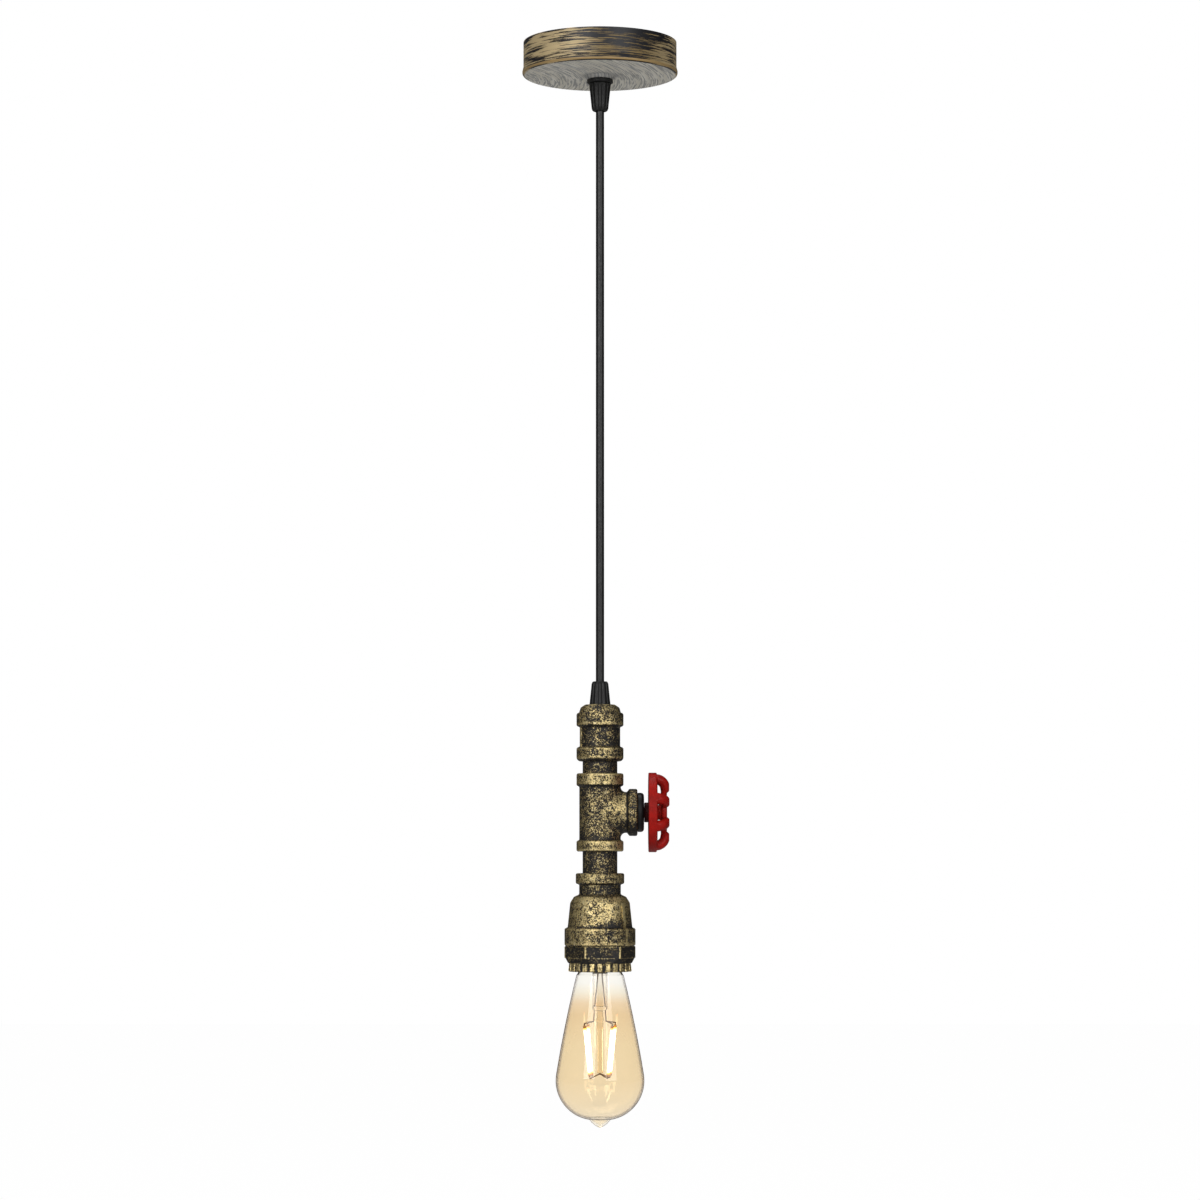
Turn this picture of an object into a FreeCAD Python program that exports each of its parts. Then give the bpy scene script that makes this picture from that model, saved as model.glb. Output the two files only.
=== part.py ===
"""Pipe pendant light: ceiling rose, flex, threaded pipe fittings, handwheel switch and filament bulb.

Millimetres. The origin is the middle of the ceiling bracket's screw pattern, on the ceiling. +Z is up,
+X is the way the tee's branch and its handwheel point, and everything hangs below the ceiling.
"""

import FreeCAD, Part
import math
import os

from FreeCAD import Vector

# Ceiling rose, a spun steel cup
rose_height = 21.0
rose_radius = 48.5
rose_edge_radius = 49.2
rose_edge_height = 2.4
rose_flare_height = 2.6
rose_wall = 1.0
rose_seat_drop = 2.4
rose_seat_radius = 7.7
rose_seat_slope = 1.0

# Ceiling bracket, a folded steel strap with a slotted foot at each end
strap_width = 18.0
strap_sheet = 1.5
strap_span = 61.0
foot_length = 14.5
slot_spacing = 74.0
slot_length = 9.0
slot_width = 4.5
earth_screw_x = -17.0
earth_screw_radius = 2.0
earth_screw_head_radius = 3.7
earth_screw_head = 2.2

# Cord grips, the same pair at both ends of the flex
grip_flange_radius = 8.25
grip_flange_height = 2.5
grip_nut_length = 17.9
grip_nut_wide_radius = 6.95
grip_nut_mouth_radius = 5.1
grip_spigot_radius = 4.6
grip_spigot_length = 7.0
grip_shank_radius = 5.0
collet_radius = 3.9
collet_length = 4.5
mouth_flare = 0.9
mouth_rounding = 1.1
lock_nut_across_flats = 13.0
lock_nut_height = 4.0
shank_past_nut = 1.5

# Flexible cord and its three cores
flex_radius = 2.6
flex_free_length = 361.2
core_radius = 0.8
core_circle = 1.15
core_bend = 1.8
sheath_above_shank = 1.0
sheath_above_branch = 15.3
core_loop = 6.0
earth_core_loop = 5.0
earth_core_reach = 6.0
post_approach = 10.0
post_slant = 4.0

# Terminal block on the bracket
block_x = 18.0
block_size = Vector(12.0, 25.0, 11.0)
block_pitch = 8.0
block_tube_radius = 2.2
block_tube_wall = 0.8
block_entry_height = 5.5
block_tube_inset = 1.0
block_corner = 1.2
block_core_gap = 4.2
clamp_screw_radius = 1.2
clamp_screw_head_radius = 1.8
clamp_screw_head = 1.0
clamp_screw_depth = 1.6
clamp_screw_spread = 3.2
clamp_hole_radius = 2.1
fixing_screw_radius = 1.3
fixing_screw_head_radius = 2.4
fixing_screw_head = 1.6
fixing_screw_depth = 3.0
fixing_hole_radius = 2.6

# Screwed pipe and malleable fittings
pipe_radius = 10.85
thread_radius = 10.3
pipe_bore = 8.2
thread_engagement = 12.6
casting_radius = 12.95
band_radius = 14.7
band_edge = 1.2
recess_slope = 0.9
pipe_end_chamfer = 0.6

# Domed bush that closes the top of the socket
bush_dome_height = 5.1
bush_dome_radius = 12.2
bush_foot_radius = 13.1
bush_rim_radius = 9.3
bush_rim_depth = 1.9
bush_cup_depth = 5.8
bush_floor = 4.0
bush_skirt = 6.1

# Socket below the bush
socket_height = 30.4
socket_top_band = 8.2
socket_bottom_band = 8.4
socket_top_rounding = 1.5
socket_bottom_rounding = 2.6
socket_radius = 12.6
seam_rib_width = 2.2
seam_rib_height = 0.55
seam_rib_root = 1.0
socket_rib_angle = -69.0

# Tee
upper_pipe_exposed = 7.5
tee_height = 48.8
tee_top_band = 7.5
tee_bottom_band = 6.4
branch_radius = 12.75
branch_reach = 23.4
branch_band = 5.0
branch_slope = 1.6
crotch_radius = 3.2

# Bell reducer
lower_pipe_exposed = 13.5
reducer_height = 45.1
reducer_top_band = 6.3
reducer_top_band_radius = 15.15
reducer_neck_radius = 13.0
reducer_neck_end = 13.2
reducer_brow_radius = 16.3
reducer_shoulder_radius = 18.6
reducer_brow_slope = 1.5
reducer_shoulder_slope = 3.6
reducer_shoulder_rounding = 3.4
reducer_shoulder_end = 20.4
reducer_skirt_radius = 20.2
reducer_bottom_band = 10.5
reducer_bottom_band_radius = 22.15
reducer_cavity_radius = 17.4
reducer_cavity_top = 23.0
reducer_cavity_rounding = 3.0
reducer_throat = 2.2
reducer_rib_angle = 49.0
bush_thread_radius = 19.1
bush_thread_length = 9.6

# Hexagon bush and fluted clamp ring under the reducer
hex_across_flats = 38.5
hex_height = 7.6
hex_turn = 5.0
hex_cone_height = 3.1
hex_cone_radius = 19.95
hex_ledge_height = 3.0
hex_bore = 17.3
hex_corner_cut = 0.9
hex_cone_overlap = 1.2
ring_height = 5.3
ring_top_radius = 19.2
ring_bottom_radius = 19.8
ring_mouth_radius = 15.2
flute_count = 24
flute_radius = 1.5
flute_depth = 1.1

# Lampholder, a porcelain body with a brass screw shell
holder_radius = 16.8
holder_height = 28.3
holder_collar_radius = 15.7
holder_collar_length = 7.5
holder_bore = 13.9
holder_floor = 4.0
shell_wall = 0.4
shell_length = 27.5
post_size = 3.6
post_height = 4.6
post_circle = 6.2
spring_width = 5.0
spring_sheet = 0.5
spring_lift = 1.2
spring_reach = 3.4
shell_top_hole = 7.6

# Rotary switch in the branch, its bush and spindle
plug_head_radius = 12.25
plug_head_length = 4.1
plug_thread_length = 8.6
switch_radius = 8.6
switch_length = 9.2
switch_tab = Vector(1.4, 3.2, 3.2)
switch_tab_offset = 5.0
spindle_radius = 3.2
spindle_depth = 6.0
switch_rounding = 0.8
plug_rounding = 2.0
collar_radius = 6.2
collar_length = 4.6

# Handwheel, a cast ring joined to its front plate by arched arms
wheel_gap = 2.8
wheel_radius = 24.9
wheel_ring_inner = 20.6
wheel_ring_depth = 5.0
arm_count = 8
arm_turn = 22.5
arm_radius = 2.45
arm_spread = 0.55
arm_start_radius = 22.5
arm_crest = 12.85
arm_bend = 6.2
arm_end_radius = 16.2
plate_radius = 15.2
plate_front = 11.0
plate_thickness = 2.8
hub_radius = 4.7
wheel_screw_radius = 2.0
wheel_screw_head_radius = 4.0
wheel_screw_head = 1.5
wheel_screw_length = 8.0

# Filament bulb
cap_radius = 13.1
cap_length = 24.0
cap_top_radius = 9.6
cap_wall = 0.4
cap_roll_start = 2.4
cap_roll_pitch = 3.6
cap_roll_depth = 0.9
cap_rolls = 5
cap_shoulder = 2.6
insulator_height = 2.2
insulator_top_radius = 5.2
tip_radius = 4.6
tip_height = 1.2
glass_wall = 0.8
neck_radius = 12.9
neck_length = 1.4
neck_shoulder_radius = 14.75
neck_shoulder_drop = 5.6
glass_mid_radius = 21.1
glass_mid_drop = 33.5
glass_length = 95.6
belly_arc_radius = 24.4
belly_arc_offset = 3.2
belly_lift = 24.8
flank_angle = 10.0
exhaust_tip_radius = 6.6
exhaust_tip_bulge = 0.5
exhaust_tip_length = 4.4
stem_rim_radius = 12.3
stem_rim_height = 0.5
stem_flare_radius = 10.5
stem_flare_drop = 3.4
stem_tube_radius = 4.7
stem_tube_wall = 0.7
stem_tube_drop = 27.5
stem_press_height = 2.2
stem_rod_radius = 1.7
bead_radius = 2.4
bead_drop = 33.2
rod_end_drop = 66.2
wire_radius = 0.4
lead_start_offset = 0.6
lead_start_height = 2.0
lead_press_offset = 3.3
lead_knee_offset = 3.9
lead_knee_drop = 34.2
filament_radius = 0.8
filament_top_drop = 38.2
filament_length = 28.2
filament_top_circle = 12.0
filament_bottom_circle = 8.3
filament_turn = 38.0
filament_cap_radius = 0.95
filament_cap_length = 1.6
filament_wire_bend = 1.4

# Fits
thread_clearance = 0.1
hole_clearance = 0.1
seat_clearance = 0.3
flex_clearance = 0.15
spindle_clearance = 0.05
running_gap = 0.2
cap_clearance = 0.25

# Heights that follow from the sizes above, from the ceiling down
z_grip_face = -rose_height
z_rose_seat = z_grip_face - rose_seat_drop
z_strap_top = z_grip_face + rose_wall + strap_sheet
z_upper_mouth = z_rose_seat - grip_flange_height - grip_nut_length
z_lower_mouth = z_upper_mouth - flex_free_length
z_lower_flange_top = z_lower_mouth - grip_nut_length
z_cup_floor = z_lower_flange_top - grip_flange_height
z_dome_top = z_cup_floor + bush_cup_depth
z_socket_top = z_dome_top - bush_dome_height
z_socket_bottom = z_socket_top - socket_height
z_tee_top = z_socket_bottom - upper_pipe_exposed
z_branch = z_tee_top - tee_height / 2
z_tee_bottom = z_tee_top - tee_height
z_reducer_top = z_tee_bottom - lower_pipe_exposed
z_reducer_bottom = z_reducer_top - reducer_height
z_hex_bottom = z_reducer_bottom - hex_height - hex_cone_height
z_ledge = z_hex_bottom + hex_ledge_height
z_ring_bottom = z_hex_bottom - ring_height
z_collar_end = z_ledge - holder_collar_length
z_holder_top = z_ledge + holder_height
z_holder_floor = z_holder_top - holder_floor
z_spring = z_holder_floor - spring_lift - spring_sheet
z_tip = z_spring - seat_clearance
z_cap_end = z_tip - tip_height - insulator_height - cap_length
z_glass_end = z_cap_end - glass_length

thread_bore = thread_radius + thread_clearance
shank_hole = grip_shank_radius + hole_clearance
flex_bore = flex_radius + flex_clearance
shell_outer = cap_radius + cap_clearance + shell_wall
wheel_rear = branch_reach + plug_head_length + wheel_gap


def outline(points):
    """Closed wire in the XZ plane through (radius, height) or (radius, height, rounding) corners."""
    corners = [Vector(p[0], 0, p[1]) for p in points]
    roundings = [p[2] if len(p) > 2 else 0.0 for p in points]
    starts, ends, arcs = [], [], []
    for i, corner in enumerate(corners):
        back = (corners[i - 1] - corner).normalize()
        ahead = (corners[(i + 1) % len(corners)] - corner).normalize()
        if not roundings[i]:
            starts.append(corner)
            ends.append(corner)
            arcs.append(None)
            continue
        half = back.getAngle(ahead) / 2
        middle = (back + ahead).normalize()
        reach = roundings[i] / math.tan(half)
        depth = roundings[i] / math.sin(half) - roundings[i]
        starts.append(corner + back * reach)
        ends.append(corner + ahead * reach)
        arcs.append(Part.Arc(starts[i], corner + middle * depth, ends[i]).toShape())
    edges = []
    for i in range(len(corners)):
        if arcs[i]:
            edges.append(arcs[i])
        following = starts[(i + 1) % len(corners)]
        if ends[i].distanceToPoint(following) > 1e-6:
            edges.append(Part.LineSegment(ends[i], following).toShape())
    return Part.Wire(edges)


def turned(points):
    """Solid of revolution about Z of the outline through the points."""
    return Part.Face(outline(points)).revolve(Vector(0, 0, 0), Vector(0, 0, 1), 360)


def cylinder(radius, low, high, x=0.0, y=0.0):
    return Part.makeCylinder(radius, high - low, Vector(x, y, low))


def box(x_range, y_range, z_range):
    """Box between the low and high values on each axis."""
    low = Vector(x_range[0], y_range[0], z_range[0])
    return Part.makeBox(x_range[1] - x_range[0], y_range[1] - y_range[0], z_range[1] - z_range[0], low)


def prism(across_flats, low, high, turn=0.0):
    """Upright hexagonal prism on the Z axis, with a flat towards -Y when turn is 0."""
    radius = across_flats / math.sqrt(3)
    angles = [math.radians(60 * k + turn) for k in range(7)]
    corners = [Vector(radius * math.cos(a), radius * math.sin(a), low) for a in angles]
    return Part.Face(Part.makePolygon(corners)).extrude(Vector(0, 0, high - low))


def rod(points, radius, bend):
    """Round rod along straight runs through the points, joined by tangent arcs of the bend radius."""
    points = [Vector(*p) for p in points]
    edges = []
    start = points[0]
    for before, corner, after in zip(points, points[1:], points[2:]):
        back = (before - corner).normalize()
        ahead = (after - corner).normalize()
        half = back.getAngle(ahead) / 2
        reach = bend / math.tan(half)
        middle = corner + (back + ahead).normalize() * (bend / math.sin(half) - bend)
        first = corner + back * reach
        last = corner + ahead * reach
        if start.distanceToPoint(first) > 1e-6:
            edges.append(Part.LineSegment(start, first).toShape())
        edges.append(Part.Arc(first, middle, last).toShape())
        start = last
    if start.distanceToPoint(points[-1]) > 1e-6:
        edges.append(Part.LineSegment(start, points[-1]).toShape())
    section = Part.Wire(Part.makeCircle(radius, points[0], points[1] - points[0]))
    return Part.Wire(edges).makePipeShell([section], True, False)


def around(shape, count, first=0.0, centre=Vector(0, 0, 0), axis=Vector(0, 0, 1)):
    """Copies of the shape at even steps round an axis, the first turned by the angle given."""
    copies = []
    for k in range(count):
        copy = shape.copy()
        copy.rotate(centre, axis, first + 360.0 * k / count)
        copies.append(copy)
    return copies


def along_branch(shape):
    """Turns a shape built about Z with its height as distance from the pipe axis on to the branch axis."""
    placed = shape.copy()
    placed.rotate(Vector(0, 0, 0), Vector(0, 1, 0), 90)
    placed.translate(Vector(0, 0, z_branch))
    return placed


def polar(radius, degrees, z=0.0):
    """Point at a radius and an angle from +X about Z."""
    a = math.radians(degrees)
    return Vector(radius * math.cos(a), radius * math.sin(a), z)


def from_viewer(degrees):
    """Angle from +X of a direction given from -Y towards +X."""
    return degrees - 90.0


# Ceiling rose and bracket


def rose_cover():
    top_in = rose_radius - rose_wall
    edge_in = rose_edge_radius - rose_wall
    seat_in = rose_seat_radius - rose_wall
    edge_top = z_grip_face + rose_edge_height
    flare_top = edge_top + rose_flare_height
    return turned(
        [
            (rose_radius, 0),
            (rose_radius, flare_top, 2.0),
            (rose_edge_radius, edge_top, 1.0),
            (rose_edge_radius, z_grip_face, 1.7),
            (rose_seat_radius + rose_seat_slope, z_grip_face, 0.5),
            (rose_seat_radius, z_rose_seat, 0.6),
            (shank_hole, z_rose_seat),
            (shank_hole, z_rose_seat + rose_wall),
            (seat_in, z_rose_seat + rose_wall),
            (seat_in + rose_seat_slope, z_grip_face + rose_wall),
            (edge_in, z_grip_face + rose_wall, 0.8),
            (edge_in, edge_top, 0.6),
            (top_in, flare_top, 1.4),
            (top_in, 0),
        ]
    )


def ceiling_bracket():
    half_span = strap_span / 2
    end = half_span + foot_length
    low = z_strap_top - strap_sheet
    inner_bend = strap_sheet * 0.6
    outer_bend = inner_bend + strap_sheet
    half_inside = half_span - strap_sheet
    section = outline(
        [
            (-end, 0),
            (-end, -strap_sheet),
            (-half_span, -strap_sheet, inner_bend),
            (-half_span, low, outer_bend),
            (half_span, low, outer_bend),
            (half_span, -strap_sheet, inner_bend),
            (end, -strap_sheet),
            (end, 0),
            (half_inside, 0, outer_bend),
            (half_inside, z_strap_top, inner_bend),
            (-half_inside, z_strap_top, inner_bend),
            (-half_inside, 0, outer_bend),
        ]
    )
    section.translate(Vector(0, -strap_width / 2, 0))
    strap = Part.Face(section).extrude(Vector(0, strap_width, 0))
    through = (low - 1, z_strap_top + 1)
    holes = [
        cylinder(shank_hole, *through),
        cylinder(earth_screw_radius, *through, x=earth_screw_x),
    ]
    holes += [cylinder(fixing_screw_radius, *through, x=block_x, y=y) for y in block_screw_places()]
    straight = slot_length - slot_width
    for side in (-1, 1):
        middle = side * slot_spacing / 2
        ends = [middle - straight / 2, middle + straight / 2]
        slot_z = (-strap_sheet - 1, 1)
        holes.append(box(ends, (-slot_width / 2, slot_width / 2), slot_z))
        holes += [cylinder(slot_width / 2, *slot_z, x=x) for x in ends]
    return strap.cut(holes)


def block_screw_places():
    return (-block_pitch / 2, block_pitch / 2)


def block_ways():
    return (-block_pitch, 0.0, block_pitch)


def pan_screw(radius, head_radius, head, length, place, axis=Vector(0, 0, -1)):
    """Screw whose head sits at the place, its shank running along the axis, with a slot in the head."""
    shank = Part.makeCylinder(radius, length, Vector(0, 0, -length))
    dome = turned(
        [(0, 0), (head_radius, 0), (head_radius, head, head * 0.45), (0, head)]
    )
    slot = box((-head_radius, head_radius), (-radius * 0.25, radius * 0.25), (head * 0.5, head + 1))
    screw = shank.fuse(dome).cut(slot).removeSplitter()
    screw.Placement = FreeCAD.Placement(Vector(*place), FreeCAD.Rotation(Vector(0, 0, -1), axis))
    return screw


def terminal_block():
    low = z_strap_top
    high = low + block_size.z
    entry = low + block_entry_height
    body = box(
        (block_x - block_size.x / 2, block_x + block_size.x / 2),
        (-block_size.y / 2, block_size.y / 2),
        (low, high),
    )
    upright = [e for e in body.Edges if abs(e.Vertexes[0].Z - e.Vertexes[1].Z) > 1]
    body = body.makeFillet(block_corner, upright)
    for way in block_ways():
        start = Vector(block_x - block_size.x / 2 - 1, way, entry)
        body = body.cut(Part.makeCylinder(block_tube_radius, block_size.x + 2, start, Vector(1, 0, 0)))
        for x in clamp_screw_xs():
            body = body.cut(cylinder(clamp_hole_radius, entry, high + 1, x, way))
    for y in block_screw_places():
        body = body.cut(cylinder(fixing_screw_radius + hole_clearance, low - 1, high + 1, block_x, y))
        body = body.cut(cylinder(fixing_hole_radius, high - fixing_screw_depth, high + 1, block_x, y))
    return body


def clamp_screw_xs():
    return (block_x - clamp_screw_spread, block_x + clamp_screw_spread)


def terminal_tubes():
    entry = z_strap_top + block_entry_height
    length = block_size.x - 2 * block_tube_inset
    tubes = []
    for way in block_ways():
        start = Vector(block_x - block_size.x / 2 + block_tube_inset, way, entry)
        outer, inner = [
            Part.makeCylinder(radius, length, start, Vector(1, 0, 0))
            for radius in (block_tube_radius, block_tube_radius - block_tube_wall)
        ]
        tube = outer.cut(inner)
        for x in clamp_screw_xs():
            tube = tube.cut(cylinder(clamp_screw_radius, entry, entry + 2 * block_tube_radius, x, way))
        tubes.append(tube)
    return tubes


def terminal_screws():
    entry = z_strap_top + block_entry_height
    top = z_strap_top + block_size.z - clamp_screw_depth
    screws = []
    for way in block_ways():
        for x in clamp_screw_xs():
            seat = entry + core_radius if x < block_x else entry
            place = (x, way, top)
            screws.append(
                pan_screw(clamp_screw_radius, clamp_screw_head_radius, clamp_screw_head, top - seat, place)
            )
    return screws


def block_screws():
    seat = z_strap_top + block_size.z - fixing_screw_depth
    length = seat - z_strap_top + strap_sheet
    head = (fixing_screw_head_radius, fixing_screw_head)
    return [pan_screw(fixing_screw_radius, *head, length, (block_x, y, seat)) for y in block_screw_places()]


def earth_screw():
    seat = z_strap_top + 2 * core_radius
    length = seat - z_strap_top + strap_sheet
    place = (earth_screw_x, 0, seat)
    return pan_screw(earth_screw_radius, earth_screw_head_radius, earth_screw_head, length, place)


# Cord grips


def grip_base(z_flange_top, shank_up):
    """Flanged body: shank into the fixture on one side, split-collet spigot for the nut on the other."""
    z_flange_bottom = z_flange_top - grip_flange_height
    shank_length = shank_length_past(shank_up)
    if shank_up:
        shank_end = z_flange_top + shank_length
        nut_side = z_flange_bottom
        spigot_end = nut_side - grip_spigot_length
    else:
        shank_end = z_flange_bottom - shank_length
        nut_side = z_flange_top
        spigot_end = nut_side + grip_spigot_length
    flange = turned(
        [
            (flex_bore, z_flange_bottom),
            (grip_flange_radius, z_flange_bottom, 0.7),
            (grip_flange_radius, z_flange_top, 0.4),
            (flex_bore, z_flange_top),
        ]
    )
    low, high = sorted((shank_end, spigot_end))
    shank = cylinder(grip_shank_radius, *sorted((shank_end, (z_flange_top + z_flange_bottom) / 2)))
    spigot = cylinder(grip_spigot_radius, *sorted((spigot_end, (z_flange_top + z_flange_bottom) / 2)))
    return flange.fuse([shank, spigot]).cut(cylinder(flex_bore, low - 1, high + 1)).removeSplitter()


def shank_length_past(into_rose):
    held = rose_seat_drop + rose_wall + strap_sheet if into_rose else bush_floor
    return held + lock_nut_height + shank_past_nut


def grip_nut(z_wide, z_mouth):
    """Tapered cap nut of the grip. Its mouth is flared so that the flex can swing in it."""
    towards = 1.0 if z_mouth > z_wide else -1.0
    chamber = z_wide + towards * (grip_spigot_length + seat_clearance)
    step = chamber + towards * (collet_length + seat_clearance)
    return turned(
        [
            (grip_spigot_radius + thread_clearance, z_wide),
            (grip_nut_wide_radius, z_wide, 0.4),
            (grip_nut_mouth_radius, z_mouth, mouth_rounding),
            (flex_bore + mouth_flare, z_mouth),
            (flex_bore, z_mouth - towards * mouth_flare),
            (flex_bore, step),
            (collet_radius + hole_clearance, step),
            (collet_radius + hole_clearance, chamber),
            (grip_spigot_radius + thread_clearance, chamber),
        ]
    )


def grip_collet(z_wide, z_mouth):
    """Clamping sleeve round the flex, between the spigot and the nut."""
    towards = 1.0 if z_mouth > z_wide else -1.0
    start = z_wide + towards * (grip_spigot_length + seat_clearance / 2)
    end = start + towards * collet_length
    low, high = sorted((start, end))
    bore = cylinder(flex_radius + spindle_clearance, low - 1, high + 1)
    return cylinder(collet_radius, low, high).cut(bore)


def lock_nut(low):
    nut = prism(lock_nut_across_flats, low, low + lock_nut_height)
    corner = lock_nut_across_flats / math.sqrt(3)
    round_off = turned(
        [
            (0, low - 1),
            (corner - 0.3, low - 1),
            (corner - 0.3, low),
            (corner + 0.3, low + 0.5),
            (corner + 0.3, low + lock_nut_height - 0.5),
            (corner - 0.3, low + lock_nut_height),
            (0, low + lock_nut_height),
        ]
    )
    return nut.common(round_off).cut(cylinder(grip_shank_radius + hole_clearance, low - 1, low + 5))


# Flex and cores


def sheath_end_above():
    return z_rose_seat + shank_length_past(True) + sheath_above_shank


def sheath_end_below():
    return z_branch + sheath_above_branch


def suspension_flex():
    """Free length between the grip mouths, with a round end centred on each swing point."""
    straight = cylinder(flex_radius, z_lower_mouth, z_upper_mouth)
    ends = [Part.makeSphere(flex_radius, Vector(0, 0, z)) for z in (z_lower_mouth, z_upper_mouth)]
    return straight.fuse(ends).removeSplitter()


def flex_in_rose():
    return cylinder(flex_radius, z_upper_mouth + flex_radius + seat_clearance, sheath_end_above())


def flex_in_pipe():
    return cylinder(flex_radius, sheath_end_below(), z_lower_mouth - flex_radius - seat_clearance)


def core_start(degrees, z):
    return polar(core_circle, degrees, z)


def rose_core(start_degrees, way):
    """Core from the sheath's end, over and down into its terminal."""
    z_start = sheath_end_above()
    entry = z_strap_top + block_entry_height
    over = z_start + core_loop
    start = core_start(start_degrees, z_start)
    drop_x = block_x - block_size.x / 2 - block_core_gap
    stop = block_x - core_radius
    route = [
        start,
        (start.x, start.y, over),
        (drop_x, way, over),
        (drop_x, way, entry),
        (stop, way, entry),
    ]
    return rod(route, core_radius, core_bend)


def rose_earth_core():
    z_start = sheath_end_above()
    start = core_start(180, z_start)
    over = z_start + earth_core_loop
    drop_x = earth_screw_x + earth_core_reach
    rest = z_strap_top + core_radius
    route = [
        start,
        (start.x, start.y, over),
        (drop_x, 0, over),
        (drop_x, 0, rest),
        (earth_screw_x + earth_screw_radius + 0.1, 0, rest),
    ]
    return rod(route, core_radius, core_bend)


def switch_back():
    return branch_reach - plug_thread_length - switch_length


def pipe_live_core():
    """From the sheath's end to the switch's upper tab."""
    start = core_start(0, sheath_end_below())
    tab = z_branch + switch_tab_offset
    return rod([start, (start.x, start.y, tab), (switch_back() - switch_tab.x, 0, tab)], core_radius, 1.4)


def post_place(degrees):
    return polar(post_circle, degrees, z_holder_top + post_height)


def switch_return_core():
    """From the switch's lower tab down to the lampholder."""
    tab = z_branch - switch_tab_offset
    post = post_place(0)
    turn_z = post.z + post_approach
    route = [
        (switch_back() - switch_tab.x, 0, tab),
        (core_circle, 0, tab),
        (core_circle, 0, turn_z),
        (post.x, 0, post.z + post_slant),
        tuple(post),
    ]
    return rod(route, core_radius, 1.4)


def straight_core(degrees):
    """From the sheath's end straight down to its post on the lampholder."""
    start = core_start(degrees, sheath_end_below())
    post = post_place(degrees)
    turn_z = post.z + post_approach
    route = [start, (start.x, start.y, turn_z), (post.x, post.y, post.z + post_slant), tuple(post)]
    return rod(route, core_radius, core_bend)


# Pipe fittings


def top_bush():
    skirt_end = z_cup_floor - bush_floor - bush_skirt
    return turned(
        [
            (grip_flange_radius + hole_clearance, z_dome_top, 0.3),
            (bush_rim_radius, z_dome_top, 0.6),
            (bush_dome_radius, z_dome_top - bush_rim_depth, 2.2),
            (bush_foot_radius, z_socket_top),
            (thread_radius, z_socket_top),
            (thread_radius, skirt_end, 0.5),
            (pipe_bore, skirt_end),
            (pipe_bore, z_cup_floor - bush_floor),
            (shank_hole, z_cup_floor - bush_floor),
            (shank_hole, z_cup_floor),
            (grip_flange_radius + hole_clearance, z_cup_floor),
        ]
    )


def seam_rib(degrees, radius_top, z_top, radius_bottom, z_bottom):
    """Casting seam standing out of a body between two heights."""
    section = outline(
        [
            (radius_top - seam_rib_root, z_top),
            (radius_top + seam_rib_height, z_top),
            (radius_bottom + seam_rib_height, z_bottom),
            (radius_bottom - seam_rib_root, z_bottom),
        ]
    )
    section.translate(Vector(0, -seam_rib_width / 2, 0))
    rib = Part.Face(section).extrude(Vector(0, seam_rib_width, 0))
    rib.rotate(Vector(0, 0, 0), Vector(0, 0, 1), from_viewer(degrees))
    return rib


def banded(top, bottom, top_band, bottom_band, radius, top_rounding=band_edge, bottom_rounding=band_edge):
    """Cast body with a raised band at each end, and the rounding of its two end edges."""
    return turned(
        [
            (0, top),
            (band_radius, top, top_rounding),
            (band_radius, top - top_band, band_edge),
            (radius, top - top_band - recess_slope, 0.9),
            (radius, bottom + bottom_band + recess_slope, 0.9),
            (band_radius, bottom + bottom_band, band_edge),
            (band_radius, bottom, bottom_rounding),
            (0, bottom),
        ]
    )


def pipe_socket():
    body = banded(
        z_socket_top,
        z_socket_bottom,
        socket_top_band,
        socket_bottom_band,
        socket_radius,
        socket_top_rounding,
        socket_bottom_rounding,
    )
    for side in (0, 180):
        body = body.fuse(
            seam_rib(
                socket_rib_angle + side,
                socket_radius,
                z_socket_top - socket_top_band,
                socket_radius,
                z_socket_bottom + socket_bottom_band,
            )
        )
    return body.cut(cylinder(thread_bore, z_socket_bottom - 1, z_socket_top + 1)).removeSplitter()


def nipple(z_above, z_below):
    """Short pipe: plain where it shows between two fittings, threaded where it is screwed in."""
    top = z_above + thread_engagement
    bottom = z_below - thread_engagement
    return turned(
        [
            (pipe_bore, top),
            (thread_radius, top, pipe_end_chamfer),
            (thread_radius, z_above),
            (pipe_radius, z_above),
            (pipe_radius, z_below),
            (thread_radius, z_below),
            (thread_radius, bottom, pipe_end_chamfer),
            (pipe_bore, bottom),
        ]
    )


def pipe_tee():
    barrel = cylinder(casting_radius, z_tee_bottom + 2, z_tee_top - 2)
    branch = along_branch(cylinder(branch_radius, 0, branch_reach - 1))
    joined = barrel.fuse(branch)
    crotch = [e for e in joined.Edges if not isinstance(e.Curve, (Part.Line, Part.Circle))]
    joined = joined.makeFillet(crotch_radius, crotch)
    barrel_bands = banded(z_tee_top, z_tee_bottom, tee_top_band, tee_bottom_band, casting_radius)
    collar_start = branch_reach - branch_band
    collar = along_branch(
        turned(
            [
                (0, collar_start - branch_slope),
                (branch_radius, collar_start - branch_slope),
                (band_radius, collar_start, 0.7),
                (band_radius, branch_reach, band_edge),
                (0, branch_reach),
            ]
        )
    )
    bores = [
        cylinder(thread_bore, z_tee_bottom - 1, z_tee_top + 1),
        along_branch(cylinder(thread_bore, 0, branch_reach + 1)),
    ]
    return joined.fuse([barrel_bands, collar]).cut(bores).removeSplitter()


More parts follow.
